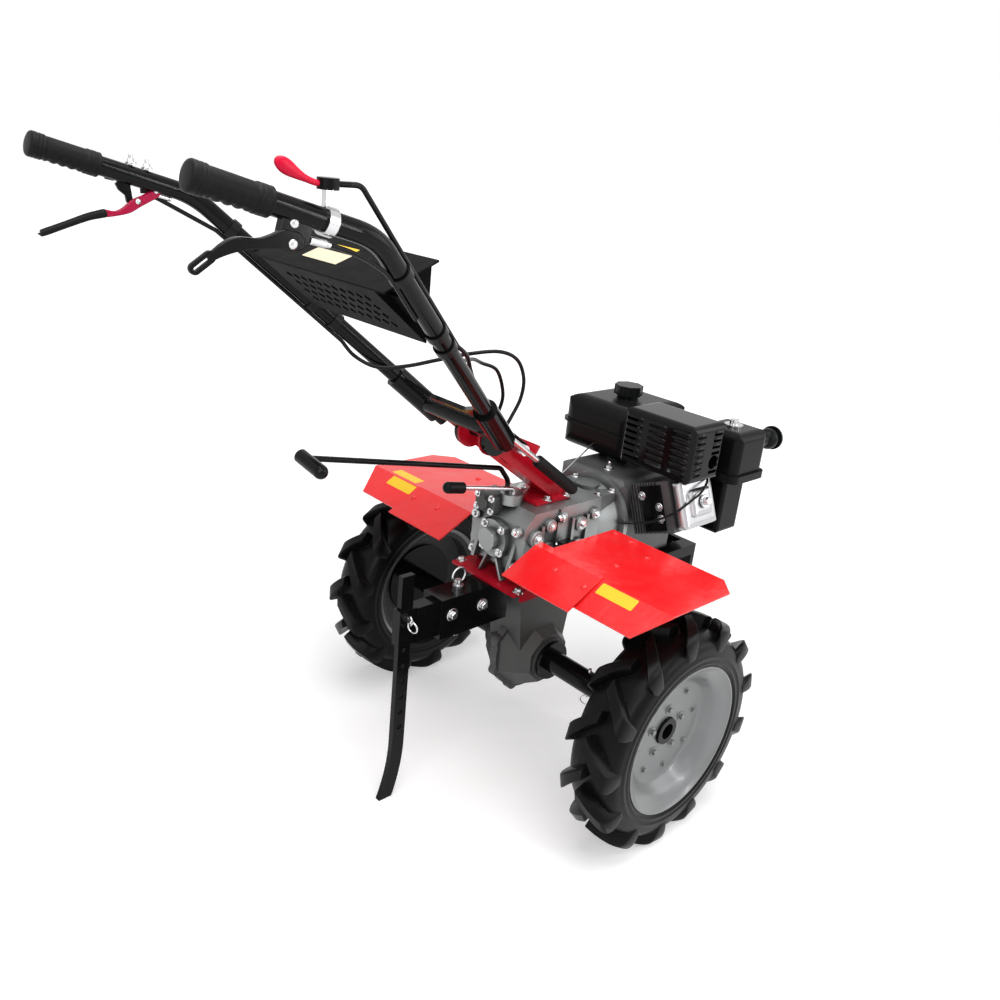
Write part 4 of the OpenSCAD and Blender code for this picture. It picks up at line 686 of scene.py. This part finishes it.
# %% Lugs, from the middle of the tread over the shoulder
LUG_LINE = np.array([  # y and radius of the top, then of the foot, swing, half width of foot and top
    (-6, 232.2, -6, 200, 0, 15, 11.5), (9, 232.8, 9, 200, 13, 16.5, 12.5),
    (24, 232.2, 24, 199, 28, 18.5, 14.5), (37, 230.4, 35, 196, 42, 21, 17),
    (46, 227.0, 41, 192, 52, 22.5, 18.5), (51.5, 221, 45, 188, 57, 22.5, 18.5),
    (54.6, 211, 47, 184, 59, 21, 17), (55.8, 198, 48, 180, 60, 19, 14.5),
    (55.6, 184, 48, 172, 60, 16, 11)])
LUG_BLEND = np.array([0, 0.5, 0.92, 1, 1, 0.92, 0.5, 0])
LUG_EDGE = np.array([-1, -1, -1, -0.84, 0.84, 1, 1, 1])
HAIR_RING, HAIR_Y, HAIR_LONG, HAIR_R, HAIR_TURN = 157, 49, 7, 0.5, 0.2


def lug(side, half, turn):
    """Grid blended from foot to top; swing and width along the tread become a turn about the axle."""
    top_y, top_r, foot_y, foot_r, swing, foot_w, top_w = smooth_path(LUG_LINE, 3).T[:, :, None]
    y = foot_y + LUG_BLEND * (top_y - foot_y)
    r = foot_r + LUG_BLEND * (top_r - foot_r)
    a = turn + (swing + LUG_EDGE * (foot_w + LUG_BLEND * (top_w - foot_w))) / TREAD_R
    grid = np.stack([r * np.cos(a), side * (TRACK_HALF + half * y), AXLE_UP + r * np.sin(a)], axis=-1)
    grid = grid[:, ::-1] if side * half > 0 else grid
    return shell(grid * MM + [AXLE_X, 0, 0])


def wheel_ring(profile, side):
    """Closed profile in millimetres turned about the axle of one wheel."""
    return turned(profile * MM, place(0, side * TRACK_HALF, AXLE_UP), (0, side, 0), WHEEL_SIDES, loop=True)


for side_name, side in SIDES:
    wheel = f"wheel_{side_name}"
    turns = full_turn(LUGS)
    lugs = [lug(side, half, turn + (half < 0) * np.pi / LUGS) for half in (1, -1) for turn in turns]
    roots = [place(HAIR_RING * np.cos(t), side * (TRACK_HALF + HAIR_Y), AXLE_UP + HAIR_RING * np.sin(t))
             for t in turns + HAIR_TURN]
    hairs = [round_bar(p, p + [0, side * HAIR_LONG * MM, 0], HAIR_R, 5) for p in roots]
    rubber = [wheel_ring(CARCASS, side)] + lugs + hairs
    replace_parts(piece(f"field_tyre_{side_name}", rubber, tyre_rubber, wheel, 40),
                f"tyre_{side_name}")
    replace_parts(piece(f"rim_dish_{side_name}", [wheel_ring(RIM, side)], rim_silver, wheel, 30),
                f"rim_{side_name}")
    # Dark liner inside each rim: painted shade.
    piece(f"rim_shade_liner_{side_name}", [wheel_ring(SHADE_LINER, side)], cast_iron, wheel, 30)
print("tyres and rims ready")

# %% Gearbox, hitch and frame bolts
CASE_X, CASE_Y, CASE_ROWS = -29.7, 80.5, (450, 507, 564)
COVER_X, COVER_Z, COVER_STEP = -134.3, 514.5, 33 * 0.707
HITCH_ROW, HITCH_Y, HITCH_Z = (-247, -170), 28, 390
CLIP_X, CLIP_Y, CLIP_Z, CLIP_WIRE, CLIP_STEPS = -340, -16, 398, 1.6, 25
FLAT_BOLTS = (  # x of both rows, y either side, z and size
    ((-28, 26), 37, 588.3, 6.0), ((108, 154), 52, 577.0, 6.0), ((-132, 84), 84, 431.7, 6.5))
case_bolts = [(CASE_X, y, z) for y in (-CASE_Y, CASE_Y) for z in CASE_ROWS]
cover_bolts = [(COVER_X, y * COVER_STEP, COVER_Z + z * COVER_STEP) for y in (-1, 1) for z in (-1, 1)]
silver_bolts = bolts_at(case_bolts, BACK, 6.5) + bolts_at(cover_bolts, BACK, 5.5)
for rows, half, z, size in FLAT_BOLTS:
    silver_bolts += bolts_at([(x, y, z) for x in rows for y in (-half, half)], UP, size)
for x in HITCH_ROW:
    for side in (-1, 1):
        silver_bolts += hex_bolt(place(x, side * HITCH_Y, HITCH_Z), (0, side, 0), 8.0)
piece("case_bolts", silver_bolts, bright_steel, "chassis")

turn = np.radians(np.linspace(-60, 240, CLIP_STEPS))
bow = [place(CLIP_X, CLIP_Y + 8 * np.cos(t), CLIP_Z + 9 * np.sin(t)) for t in turn]
clip = [round_bar(place(CLIP_X, CLIP_Y - 8, CLIP_Z), place(CLIP_X, CLIP_Y + 8, CLIP_Z), 4.5),
        swept(bow, circle(CLIP_WIRE * MM, 8)),
        ring(place(CLIP_X, CLIP_Y - 10, CLIP_Z - 9), (1, 0.2, 0.1), 11, 1.7)]
piece("stake_clip", clip, bright_steel, "chassis")
print("gearbox and hitch fasteners:", len(silver_bolts) // 2)

# %% [markdown]
# ## Castings on the gearbox
# A cast case is never plain: bosses stand where a bolt goes in, a cap covers each bearing and a block
# carries the shift shafts. Caps and bosses are turned with a small draft, and the block is a plate
# with rounded corners and eased edges. All are sunk a little into the case.

# %% Bearing caps, bosses and shift block
CASE_SIDE, CASE_BACK, RIB_THICK = 75, -120, 18
SIDE_BOSSES = [  # x, z, radius and how far the boss stands proud
    (-92, 532, 17, 9), (-57, 553, 13, 11), (-103, 486, 12, 8), (-57, 497, 20, 7), (32, 540, 15, 10),
    (74, 552, 12, 9), (32, 494, 13, 8)]
BACK_BOSS = np.array([(12, -2), (11, 8), (9.5, 9.5)])
BLOCK_CAP = np.array([(15, -2), (14, 6), (12, 8)])
BLOCK_WIDE, BLOCK_HIGH, BLOCK_DEEP = 56, 42, 52
castings, boss_bolts = [], []
for x, z, radius, proud in SIDE_BOSSES:
    size = 5.0 if radius < 15 else 6.5
    profile = np.array([(radius + 1.5, -2), (radius + 0.4, proud - 1.5), (radius - 1, proud)])
    for side in (-1, 1):
        castings.append(turned(profile * MM, place(x, CASE_SIDE * side, z), (0, side, 0), 28))
        boss_bolts += hex_bolt(place(x, (CASE_SIDE + proud) * side, z), (0, side, 0), size)
for y in (-58, 58):
    for z in (470, 545):
        castings.append(turned(BACK_BOSS * MM, place(CASE_BACK, y, z), BACK, 24))
        boss_bolts += hex_bolt(place(CASE_BACK - BACK_BOSS[-1, 1], y, z), BACK, 5.5)
for rib in ([(-34, 0), (-28, 0), (-9, 44), (-15, 44)], [(28, 0), (34, 0), (15, 44), (9, 44)]):
    castings.append(plate(rib, place(-124, 0, 433), RIGHT, UP, RIB_THICK, 1.5))
piece("gearbox_castings", castings, cast_aluminium, "chassis")

block_at = place(-106, 34, 577)
block_back = block_at - [BLOCK_DEEP / 2 * MM, 0, 0]
block = [plate(rounded(BLOCK_WIDE, BLOCK_HIGH, 8), block_at, RIGHT, UP, BLOCK_DEEP, 3),
         turned(BLOCK_CAP * MM, block_back, BACK, 28)]
piece("shift_block", block, drive_grey, "chassis")
for y in (-20, 20):
    for z in (-13, 13):
        boss_bolts += hex_bolt(block_back + MM * np.array([0, y, z]), BACK, 4.6)
piece("boss_bolts", boss_bolts, bright_steel, "chassis")
print("castings:", len(castings), "bolts:", len(boss_bolts) // 2)

# %% [markdown]
# ## Engine trim
# The guard over the muffler has rows of slots, and each slot was pressed out as a small hood above it.
# A hood is a thin profile swept along the slot that shrinks towards both ends. The valve cover
# has one bolt in its middle, a thin wire runs from the plug across the cover to the crankcase, and a
# bare rod links the deck with the governor under the tank.

# %% Louvre hoods on the muffler guard
HOOD = np.array([(0, -1), (0, 5.0), (1.2, 4.6), (3.6, 1.2), (3.8, 0.2), (3.2, 0.0), (1.0, 3.2),
                 (0.4, -1)]) * MM


def louvre_hood(centre, along, out, width):
    """Hood profile carried along a slot; the root of a parabola shrinks it towards both ends."""
    t = np.linspace(-1, 1, 11)
    scale = np.sqrt(np.clip(1.04 - t ** 2, 0, 1))[:, None]
    spine = centre + (t * width / 2 * MM)[:, None] * along
    depth, rise = scale * HOOD[:, 0], scale * HOOD[:, 1]
    return shell(spine[:, None] + depth[..., None] * out + rise[..., None] * UP)


GUARD_LOW, GUARD_TALL, GUARD_EDGE, SLOT_ROWS = 630, 122, 14, 7
GUARD_BACK, GUARD_SIDE, HOOD_LIFT = 190, -206, 3.5
SIDE_COLUMNS = ((218, 0), (274, 695))  # x of a column, and the height from which it has slots
slot_step = (GUARD_TALL - 2 * GUARD_EDGE) / SLOT_ROWS
heights = GUARD_LOW + GUARD_EDGE + slot_step * (np.arange(SLOT_ROWS) + 0.5)
hoods = [louvre_hood(place(GUARD_BACK, y, z + HOOD_LIFT), (0, 1, 0), BACK, 46)
         for y in (-176, -116, -56) for z in heights]
hoods += [louvre_hood(place(x, GUARD_SIDE, z + HOOD_LIFT), BACK, RIGHT, 30)
          for x, lowest in SIDE_COLUMNS for z in heights if z >= lowest]
piece("louvre_hoods", hoods, black_paint, "chassis")
print("louvre hoods:", len(hoods))

# %% Engine bolts, plug lead and link rod
LEAN, COVER_REACH, LEAD_D = np.radians(22), 232, 0.005
STUD, STUD_LONG, LINK_FOOT, LINK_END = (214, 12, 596), 18, (104, 52, 588), (236, 83, 632)
GUIDE_BOLTS = [(191.7, -103, 577), (191.7, -150, 568), (191.7, -160, 545)]
LEAD_ROUTE = [
    (330, -148, 600), (320, -158, 619), (303, -176, 630), (276, -198, 625), (243, -210, 612),
    (214, -207, 596), (190, -194, 574), (180, -168, 552), (178, -140, 534), (170, -113, 524),
    (158, -98, 520), (148, -84, 520)]
cylinder = np.array([0, -np.cos(LEAN), np.sin(LEAN)])
cover_top = place(256, 0, 505) + COVER_REACH * MM * cylinder
engine_bolts = hex_bolt(cover_top, cylinder, 8.5)
engine_bolts += bolts_at(GUIDE_BOLTS, BACK, 5.5) + hex_bolt(place(*STUD), UP, 7.0)
engine_bolts += [round_bar(place(*STUD), place(*STUD) + [0, 0, STUD_LONG * MM], 4)]
piece("engine_bolts", engine_bolts, bright_steel, "chassis")

foot = place(*LINK_FOOT)
link = [round_bar(foot - [0, 0, 12 * MM], foot + [0, 0, 4 * MM], 4),
        round_bar(foot, place(*LINK_END), 1.6), ring(foot, UP, 5.5, 1.6)]
piece("link_rod", link, bright_steel, "chassis")
cable("plug_lead", LEAD_ROUTE, LEAD_D, "chassis")

# %% [markdown]
# ## Fender bolts and blank labels
# Each fender is bolted to its bracket by low domed heads, and carries a yellow label on the rear
# slope. The labels stay blank. A label is a rounded outline with a hair of thickness, laid on the
# slope by two axes: one across the machine and one up the slope.

# %% Fender bolts and labels
LABEL_SUNK, LABEL_PROUD = 0.2, 0.35


def label(centre, across, up, width, height, corner=2.5):
    """Rounded outline in the plane of two directions, sunk a little and standing a little proud."""
    across, up = unit(across), unit(up)
    flat = rounded(width * MM, height * MM, corner * MM)
    middle, out = centre + flat[:, :1] * across + flat[:, 1:] * up, MM * np.cross(across, up)
    return shell(np.stack([middle - LABEL_SUNK * out, middle + LABEL_PROUD * out]))


FENDER_TOP, FENDER_BOLT = 526, 6.5
SKIRT_OUT, SLOPE_UP = (-0.46, 0, 0.89), (62, 0, 38)
SKIRT_BOLTS = [(-133.6, 172, 515.7), (-136.6, 247, 514.2)]
TOP_BOLTS = [(-37, 236), (44, 244), (78, 176), (82, 134)]
for side_name, side in SIDES:
    skirt_spots = [(x, side * y, z) for x, y, z in SKIRT_BOLTS]
    top_spots = [(x, side * y, FENDER_TOP) for x, y in TOP_BOLTS]
    heads = bolts_at(skirt_spots, SKIRT_OUT, FENDER_BOLT, dome_bolt)
    heads += bolts_at(top_spots, UP, FENDER_BOLT, dome_bolt)
    piece(f"fender_bolts_{side_name}", heads, fender_red, "chassis")
    marks = [label(place(-121, side * 311, 518), RIGHT, SLOPE_UP, 82, 25)]
    if side > 0:
        marks += [label(place(-88, 330, FENDER_TOP), RIGHT, FORWARD, 84, 26)]
    piece(f"fender_label_{side_name}", marks, label_yellow, "chassis")
print("fender trim ready")

# %% [markdown]
# ## Handlebar trim
# The grips are soft rubber sleeves: a grooved collar at each end, a waist with shallow finger hollows
# on the underside, and a rounded end. The radius is one formula of the length along the grip and of
# the angle, so the collars, hollows and ribs are sums of smooth steps and cosines. Rivets, cable
# ends and the labels on the console finish the bar.

# %% Grips
TUBE_BEND, TUBE_END, TUBE_STOP = np.array([-620, 244, 1112.0]), np.array([-851.7, 240, 1170.0]), 6.3
GRIP_R, GRIP_LONG, GRIP_ROUND, COLLAR = 16.3, 96, 4, 1.3
GROOVES, GROOVE_WIDE = ((80, 0.9), (85, 0.9), (14, 0.7), (4, 0.7)), 0.9  # place along the grip and depth
FINGER_DEEP, FINGER_STEP, FINGER_FIRST, RIB_DEEP, RIBS = 0.9, 12.5, 22, 0.16, 36


def step(x, low, high):
    """Smooth rise from 0 to 1 between two values."""
    t = np.clip((x - low) / (high - low), 0, 1)
    return t * t * (3 - 2 * t)


def grip_sleeve(side):
    """Radius plus collars, less grooves and a rounded end, with finger hollows below and fine ribs."""
    mirror = np.array([1, side, 1])
    start, end = TUBE_BEND * mirror, TUBE_END * mirror
    across, over, along = axes_along(end - start)
    tip = end + along * TUBE_STOP
    straight = GRIP_LONG - GRIP_ROUND
    bend = GRIP_LONG - GRIP_ROUND * np.cos(np.linspace(0.1, np.pi / 2, 7))
    s = np.concatenate([np.linspace(0, straight, 116), bend])[:, None]
    a = full_turn(72)
    spoke = np.cos(a)[:, None] * across + np.sin(a)[:, None] * over
    radius = GRIP_R + COLLAR * (1 - step(s, 17, 21)) + COLLAR * step(s, 74, 78)
    for at, deep in GROOVES:
        radius = radius - deep * np.exp(-((s - at) / GROOVE_WIDE) ** 2)
    middle = step(s, 20, 24) * (1 - step(s, 70, 74))
    below = np.clip(-spoke[:, 2] / np.abs(spoke[:, 2]).max(), 0, 1)
    fingers = FINGER_DEEP * below * np.cos((s - FINGER_FIRST) / FINGER_STEP * 2 * np.pi)
    radius = radius + middle * (fingers + RIB_DEEP * np.cos(RIBS * a))
    past = ((s - straight) / GRIP_ROUND).clip(0, 1)
    radius = radius - GRIP_ROUND * (1 - np.sqrt(1 - past ** 2))
    grid = tip + (s - GRIP_LONG)[..., None] * along + radius[..., None] * spoke
    return shell(grid * MM + [AXLE_X, 0, 0])


for side_name, side in SIDES:
    sleeve = [grip_sleeve(side)]
    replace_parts(piece(f"grip_sleeve_{side_name}", sleeve, grip_rubber, "handlebar", 50),
                f"grip_{side_name}")
print("grips ready")

# %% [markdown]
# ## Hand levers
# Both levers are pressed plates, so each is an outline in the upright plane of its tube, drawn as a
# smooth curve through a few points and given a thickness. The right one ends in a long eye, which is
# a bar swept round a slot. The throttle thumb lever is a bar whose section grows into a paddle.

# %% Outlines of the levers and their mounts
CLUTCH_PIN, REVERSE_PIN, THROTTLE_EYE = (-709, 1100), (-740, 1105), (-692, 1170)
CLUTCH_Y, CLUTCH_MOUNT_Y, REVERSE_Y, REVERSE_MOUNT_Y, THROTTLE_Y = 241.0, 246.5, -249.4, -243.5, -242.8
BLADE_T, CLUTCH_MOUNT_T, REVERSE_MOUNT_T = 7, 6, 13
REVERSE_BLADE = [(-97, -19), (-82, -13), (-63, -8), (-43, -6), (-18, -6), (-2, -8), (11, -6), (16, 2),
                 (11, 11), (-2, 15), (-14, 15), (-27, 10), (-43, 6), (-67, 7), (-82, 2), (-97, -9),
                 (-102, -13)]
REVERSE_EYE = [(-115, -26), (-98, -14)]
REVERSE_MOUNT = [(-17, 3), (-8, -7), (13, -7), (24, -1), (26, 12), (27, 26), (27, 41), (-11, 41),
                 (-11, 29), (-14, 17)]
CLUTCH_BLADE = [(-61, -19), (-52, -24), (-33, -22), (-12, -17), (4, -8), (19, 0), (34, 9), (35, 19),
                (20, 15), (8, 9), (-2, 5), (-11, 0), (-23, -10), (-35, -15), (-51, -13)]
CLUTCH_RAIL = [(-48, 42), (-44, 29), (-33, 27), (-21, 31), (5, 26), (20, 20), (34, 22), (35, 28),
               (-9, 37), (-38, 42)]
CLUTCH_ARM = [(-21, 32), (-30, 23), (-26, 15), (-16, 7), (-14, -3), (-5, 2), (-7, 16), (-8, 23), (-10, 31)]
CLUTCH_HORN = [(7, 28), (8, 11), (20, 12), (34, 17), (34, 26)]
CLUTCH_SLEEVE = [(-47, -18, 4, 4), (-49, -18.4, 6.2, 5.4), (-61, -21, 6, 5.4), (-76, -25, 5.6, 5.2),
                 (-106, -36, 5.2, 5.2), (-136, -47, 5.2, 5.2), (-140, -48, 3.8, 3.8)]
THROTTLE_PADDLE = [(0, 0, 3.4, 3), (-14, 1, 3.6, 3), (-28, 5, 4.2, 3.2), (-40, 10, 6.5, 3.8),
                   (-50, 15, 8.6, 4.4), (-58, 19, 8.2, 4.2), (-64, 22, 5, 3), (-66, 23, 1.5, 1)]


def curved(outline, steps=4):
    """Closed smooth curve through the points, with a corner at the first one."""
    line = np.array(outline, dtype=float)
    return smooth_path(np.vstack([line, line[:1]]), steps)[:-1]


def upright(outline, pin, y, thick, bevel):
    """Plate in the upright plane at y, from an outline of (forward, up) steps from a pin."""
    return plate(outline, place(pin[0], y, pin[1]), FORWARD, UP, thick, bevel)


def in_plane(x, z, pin, y):
    """Points of the upright plane at y, from steps forward and up from a pin."""
    return place(pin[0], y, pin[1]) + MM * np.column_stack([x, np.zeros(len(x)), z])


def tapered(points, pin, y):
    """Bar along (forward, up, half height, half thickness) steps from a pin, in the upright plane at y."""
    x, z, high, thick = smooth_path(np.array(points, dtype=float), 6).T
    section = circle(MM, 16) * np.stack([high, thick], axis=-1)[:, None]
    return swept(in_plane(x, z, pin, y), section)


def long_eye(ends, half, pin, y, outline):
    """Bar swept round a slot: half circles of one radius about both ends, in the upright plane at y."""
    a, b = np.array(ends, dtype=float)
    u = unit(b - a)
    turn = np.linspace(-np.pi / 2, np.pi / 2, 10)[:, None]
    bow = np.cos(turn) * u + np.sin(turn) * np.array([-u[1], u[0]])
    flat = np.vstack([b + half * bow, a - half * bow])
    return swept(in_plane(flat[:, 0], flat[:, 1], pin, y), outline, loop=True)


print("lever outlines ready")

# %% Clutch lever, reverse lever and throttle lever
reverse_shells = [upright(curved(REVERSE_BLADE), REVERSE_PIN, REVERSE_Y, BLADE_T, 1.2),
                  long_eye(REVERSE_EYE, 4.3, REVERSE_PIN, REVERSE_Y, rounded(5, BLADE_T, 1.6) * MM)]
reverse_mount = [upright(REVERSE_MOUNT, REVERSE_PIN, REVERSE_MOUNT_Y, REVERSE_MOUNT_T, 1.5)]
clutch_shells = [upright(curved(CLUTCH_BLADE), CLUTCH_PIN, CLUTCH_Y, BLADE_T, 1.5)]
clutch_mount = [upright(line, CLUTCH_PIN, CLUTCH_MOUNT_Y, CLUTCH_MOUNT_T, 0.8)
                for line in (CLUTCH_RAIL, CLUTCH_ARM, CLUTCH_HORN)]
sleeve_shells = [tapered(CLUTCH_SLEEVE, CLUTCH_PIN, CLUTCH_Y)]
paddle_shells = [tapered(THROTTLE_PADDLE, THROTTLE_EYE, THROTTLE_Y)]
for name, solid, shells, material, slot, sharp in (
        ("reverse_blade", "reverse_lever", reverse_shells, black_paint, "black_paint", 35),
        ("reverse_mount", "reverse_bracket", reverse_mount, black_paint, "black_paint", 35),
        ("clutch_blade", "clutch_lever", clutch_shells, lever_red, "crimson_paint", 35),
        ("clutch_mount", "clutch_bracket", clutch_mount, black_paint, "black_paint", 35),
        ("clutch_sleeve", "clutch_lever_end", sleeve_shells, grip_rubber, "grip_rubber", 50),
        ("throttle_paddle", "throttle_lever", paddle_shells, switch_red, "red_paint", 60)):
    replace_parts(piece(name, shells, material, "handlebar", sharp), solid)
print("levers ready")

# %% Cable from the reverse lever to the tube
FEED_D = 0.006
FEED_ROUTE = [(-700, -249.2, 1105.8), (-676, -248.4, 1100.5), (-650, -246.5, 1092.5), (-620, -241, 1080),
              (-589.8, -231.8, 1063.4), (-549.8, -215.5, 1027.4), (-519.8, -203.4, 1000.5)]
cable("reverse_feed", FEED_ROUTE, FEED_D, "handlebar")

# %% Rivets, cable ends and console labels
FERRULES = [((-716, -249.4, 1109), (-694, -249.1, 1104.5)), ((-679, 243.5, 1109.7), (-660, 243.9, 1105))]
FERRULE_R, NIPPLE_R, NIPPLE_SHARE = 4.6, 3.6, 0.25
CLAMP_STUDS, CLAMP_Y, CLAMP_LONG = [(-716, 1150), (-692, 1144)], 242, 16
CONSOLE_UP = (0.93, 0, 0.37)
rivets = [(REVERSE_PIN, 3, 22, REVERSE_MOUNT_Y - REVERSE_MOUNT_T / 2, 6)]
rivets += [(REVERSE_PIN, 0, 0, REVERSE_Y - BLADE_T / 2, 6)]
rivets += [(CLUTCH_PIN, x, z, CLUTCH_Y - BLADE_T / 2, 4.5) for x, z in ((0, 0), (29, 16))]
rivets += [(CLUTCH_PIN, x, z, CLUTCH_MOUNT_Y - CLUTCH_MOUNT_T / 2, 3)
           for x, z in ((-42, 34), (-35, 32), (-18, 30))]
lever_heads = [part for pin, x, z, y, size in rivets for part in
               dome_bolt(place(pin[0] + x, y, pin[1] + z), RIGHT, size)]
for start, end in FERRULES:
    a, b = place(*start), place(*end)
    lever_heads += [round_bar(a, b, FERRULE_R), round_bar(b, b + NIPPLE_SHARE * (b - a), NIPPLE_R)]
for x, z in CLAMP_STUDS:
    lever_heads += [round_bar(place(x, CLAMP_Y, z), place(x, CLAMP_Y, z + CLAMP_LONG), 3)]
    lever_heads += hex_bolt(place(x, CLAMP_Y, z + 4), UP, 5.0)
piece("lever_rivets", lever_heads, bright_steel, "handlebar")

console_label = [label(place(-512, 30, 1050.8), RIGHT, CONSOLE_UP, 92, 32)]
piece("console_label", console_label, label_cream, "handlebar")
console_mark = [label(place(-484, 22, 1062.0), RIGHT, CONSOLE_UP, 60, 12)]
piece("console_mark", console_mark, label_yellow, "handlebar")
print("handlebar trim ready")
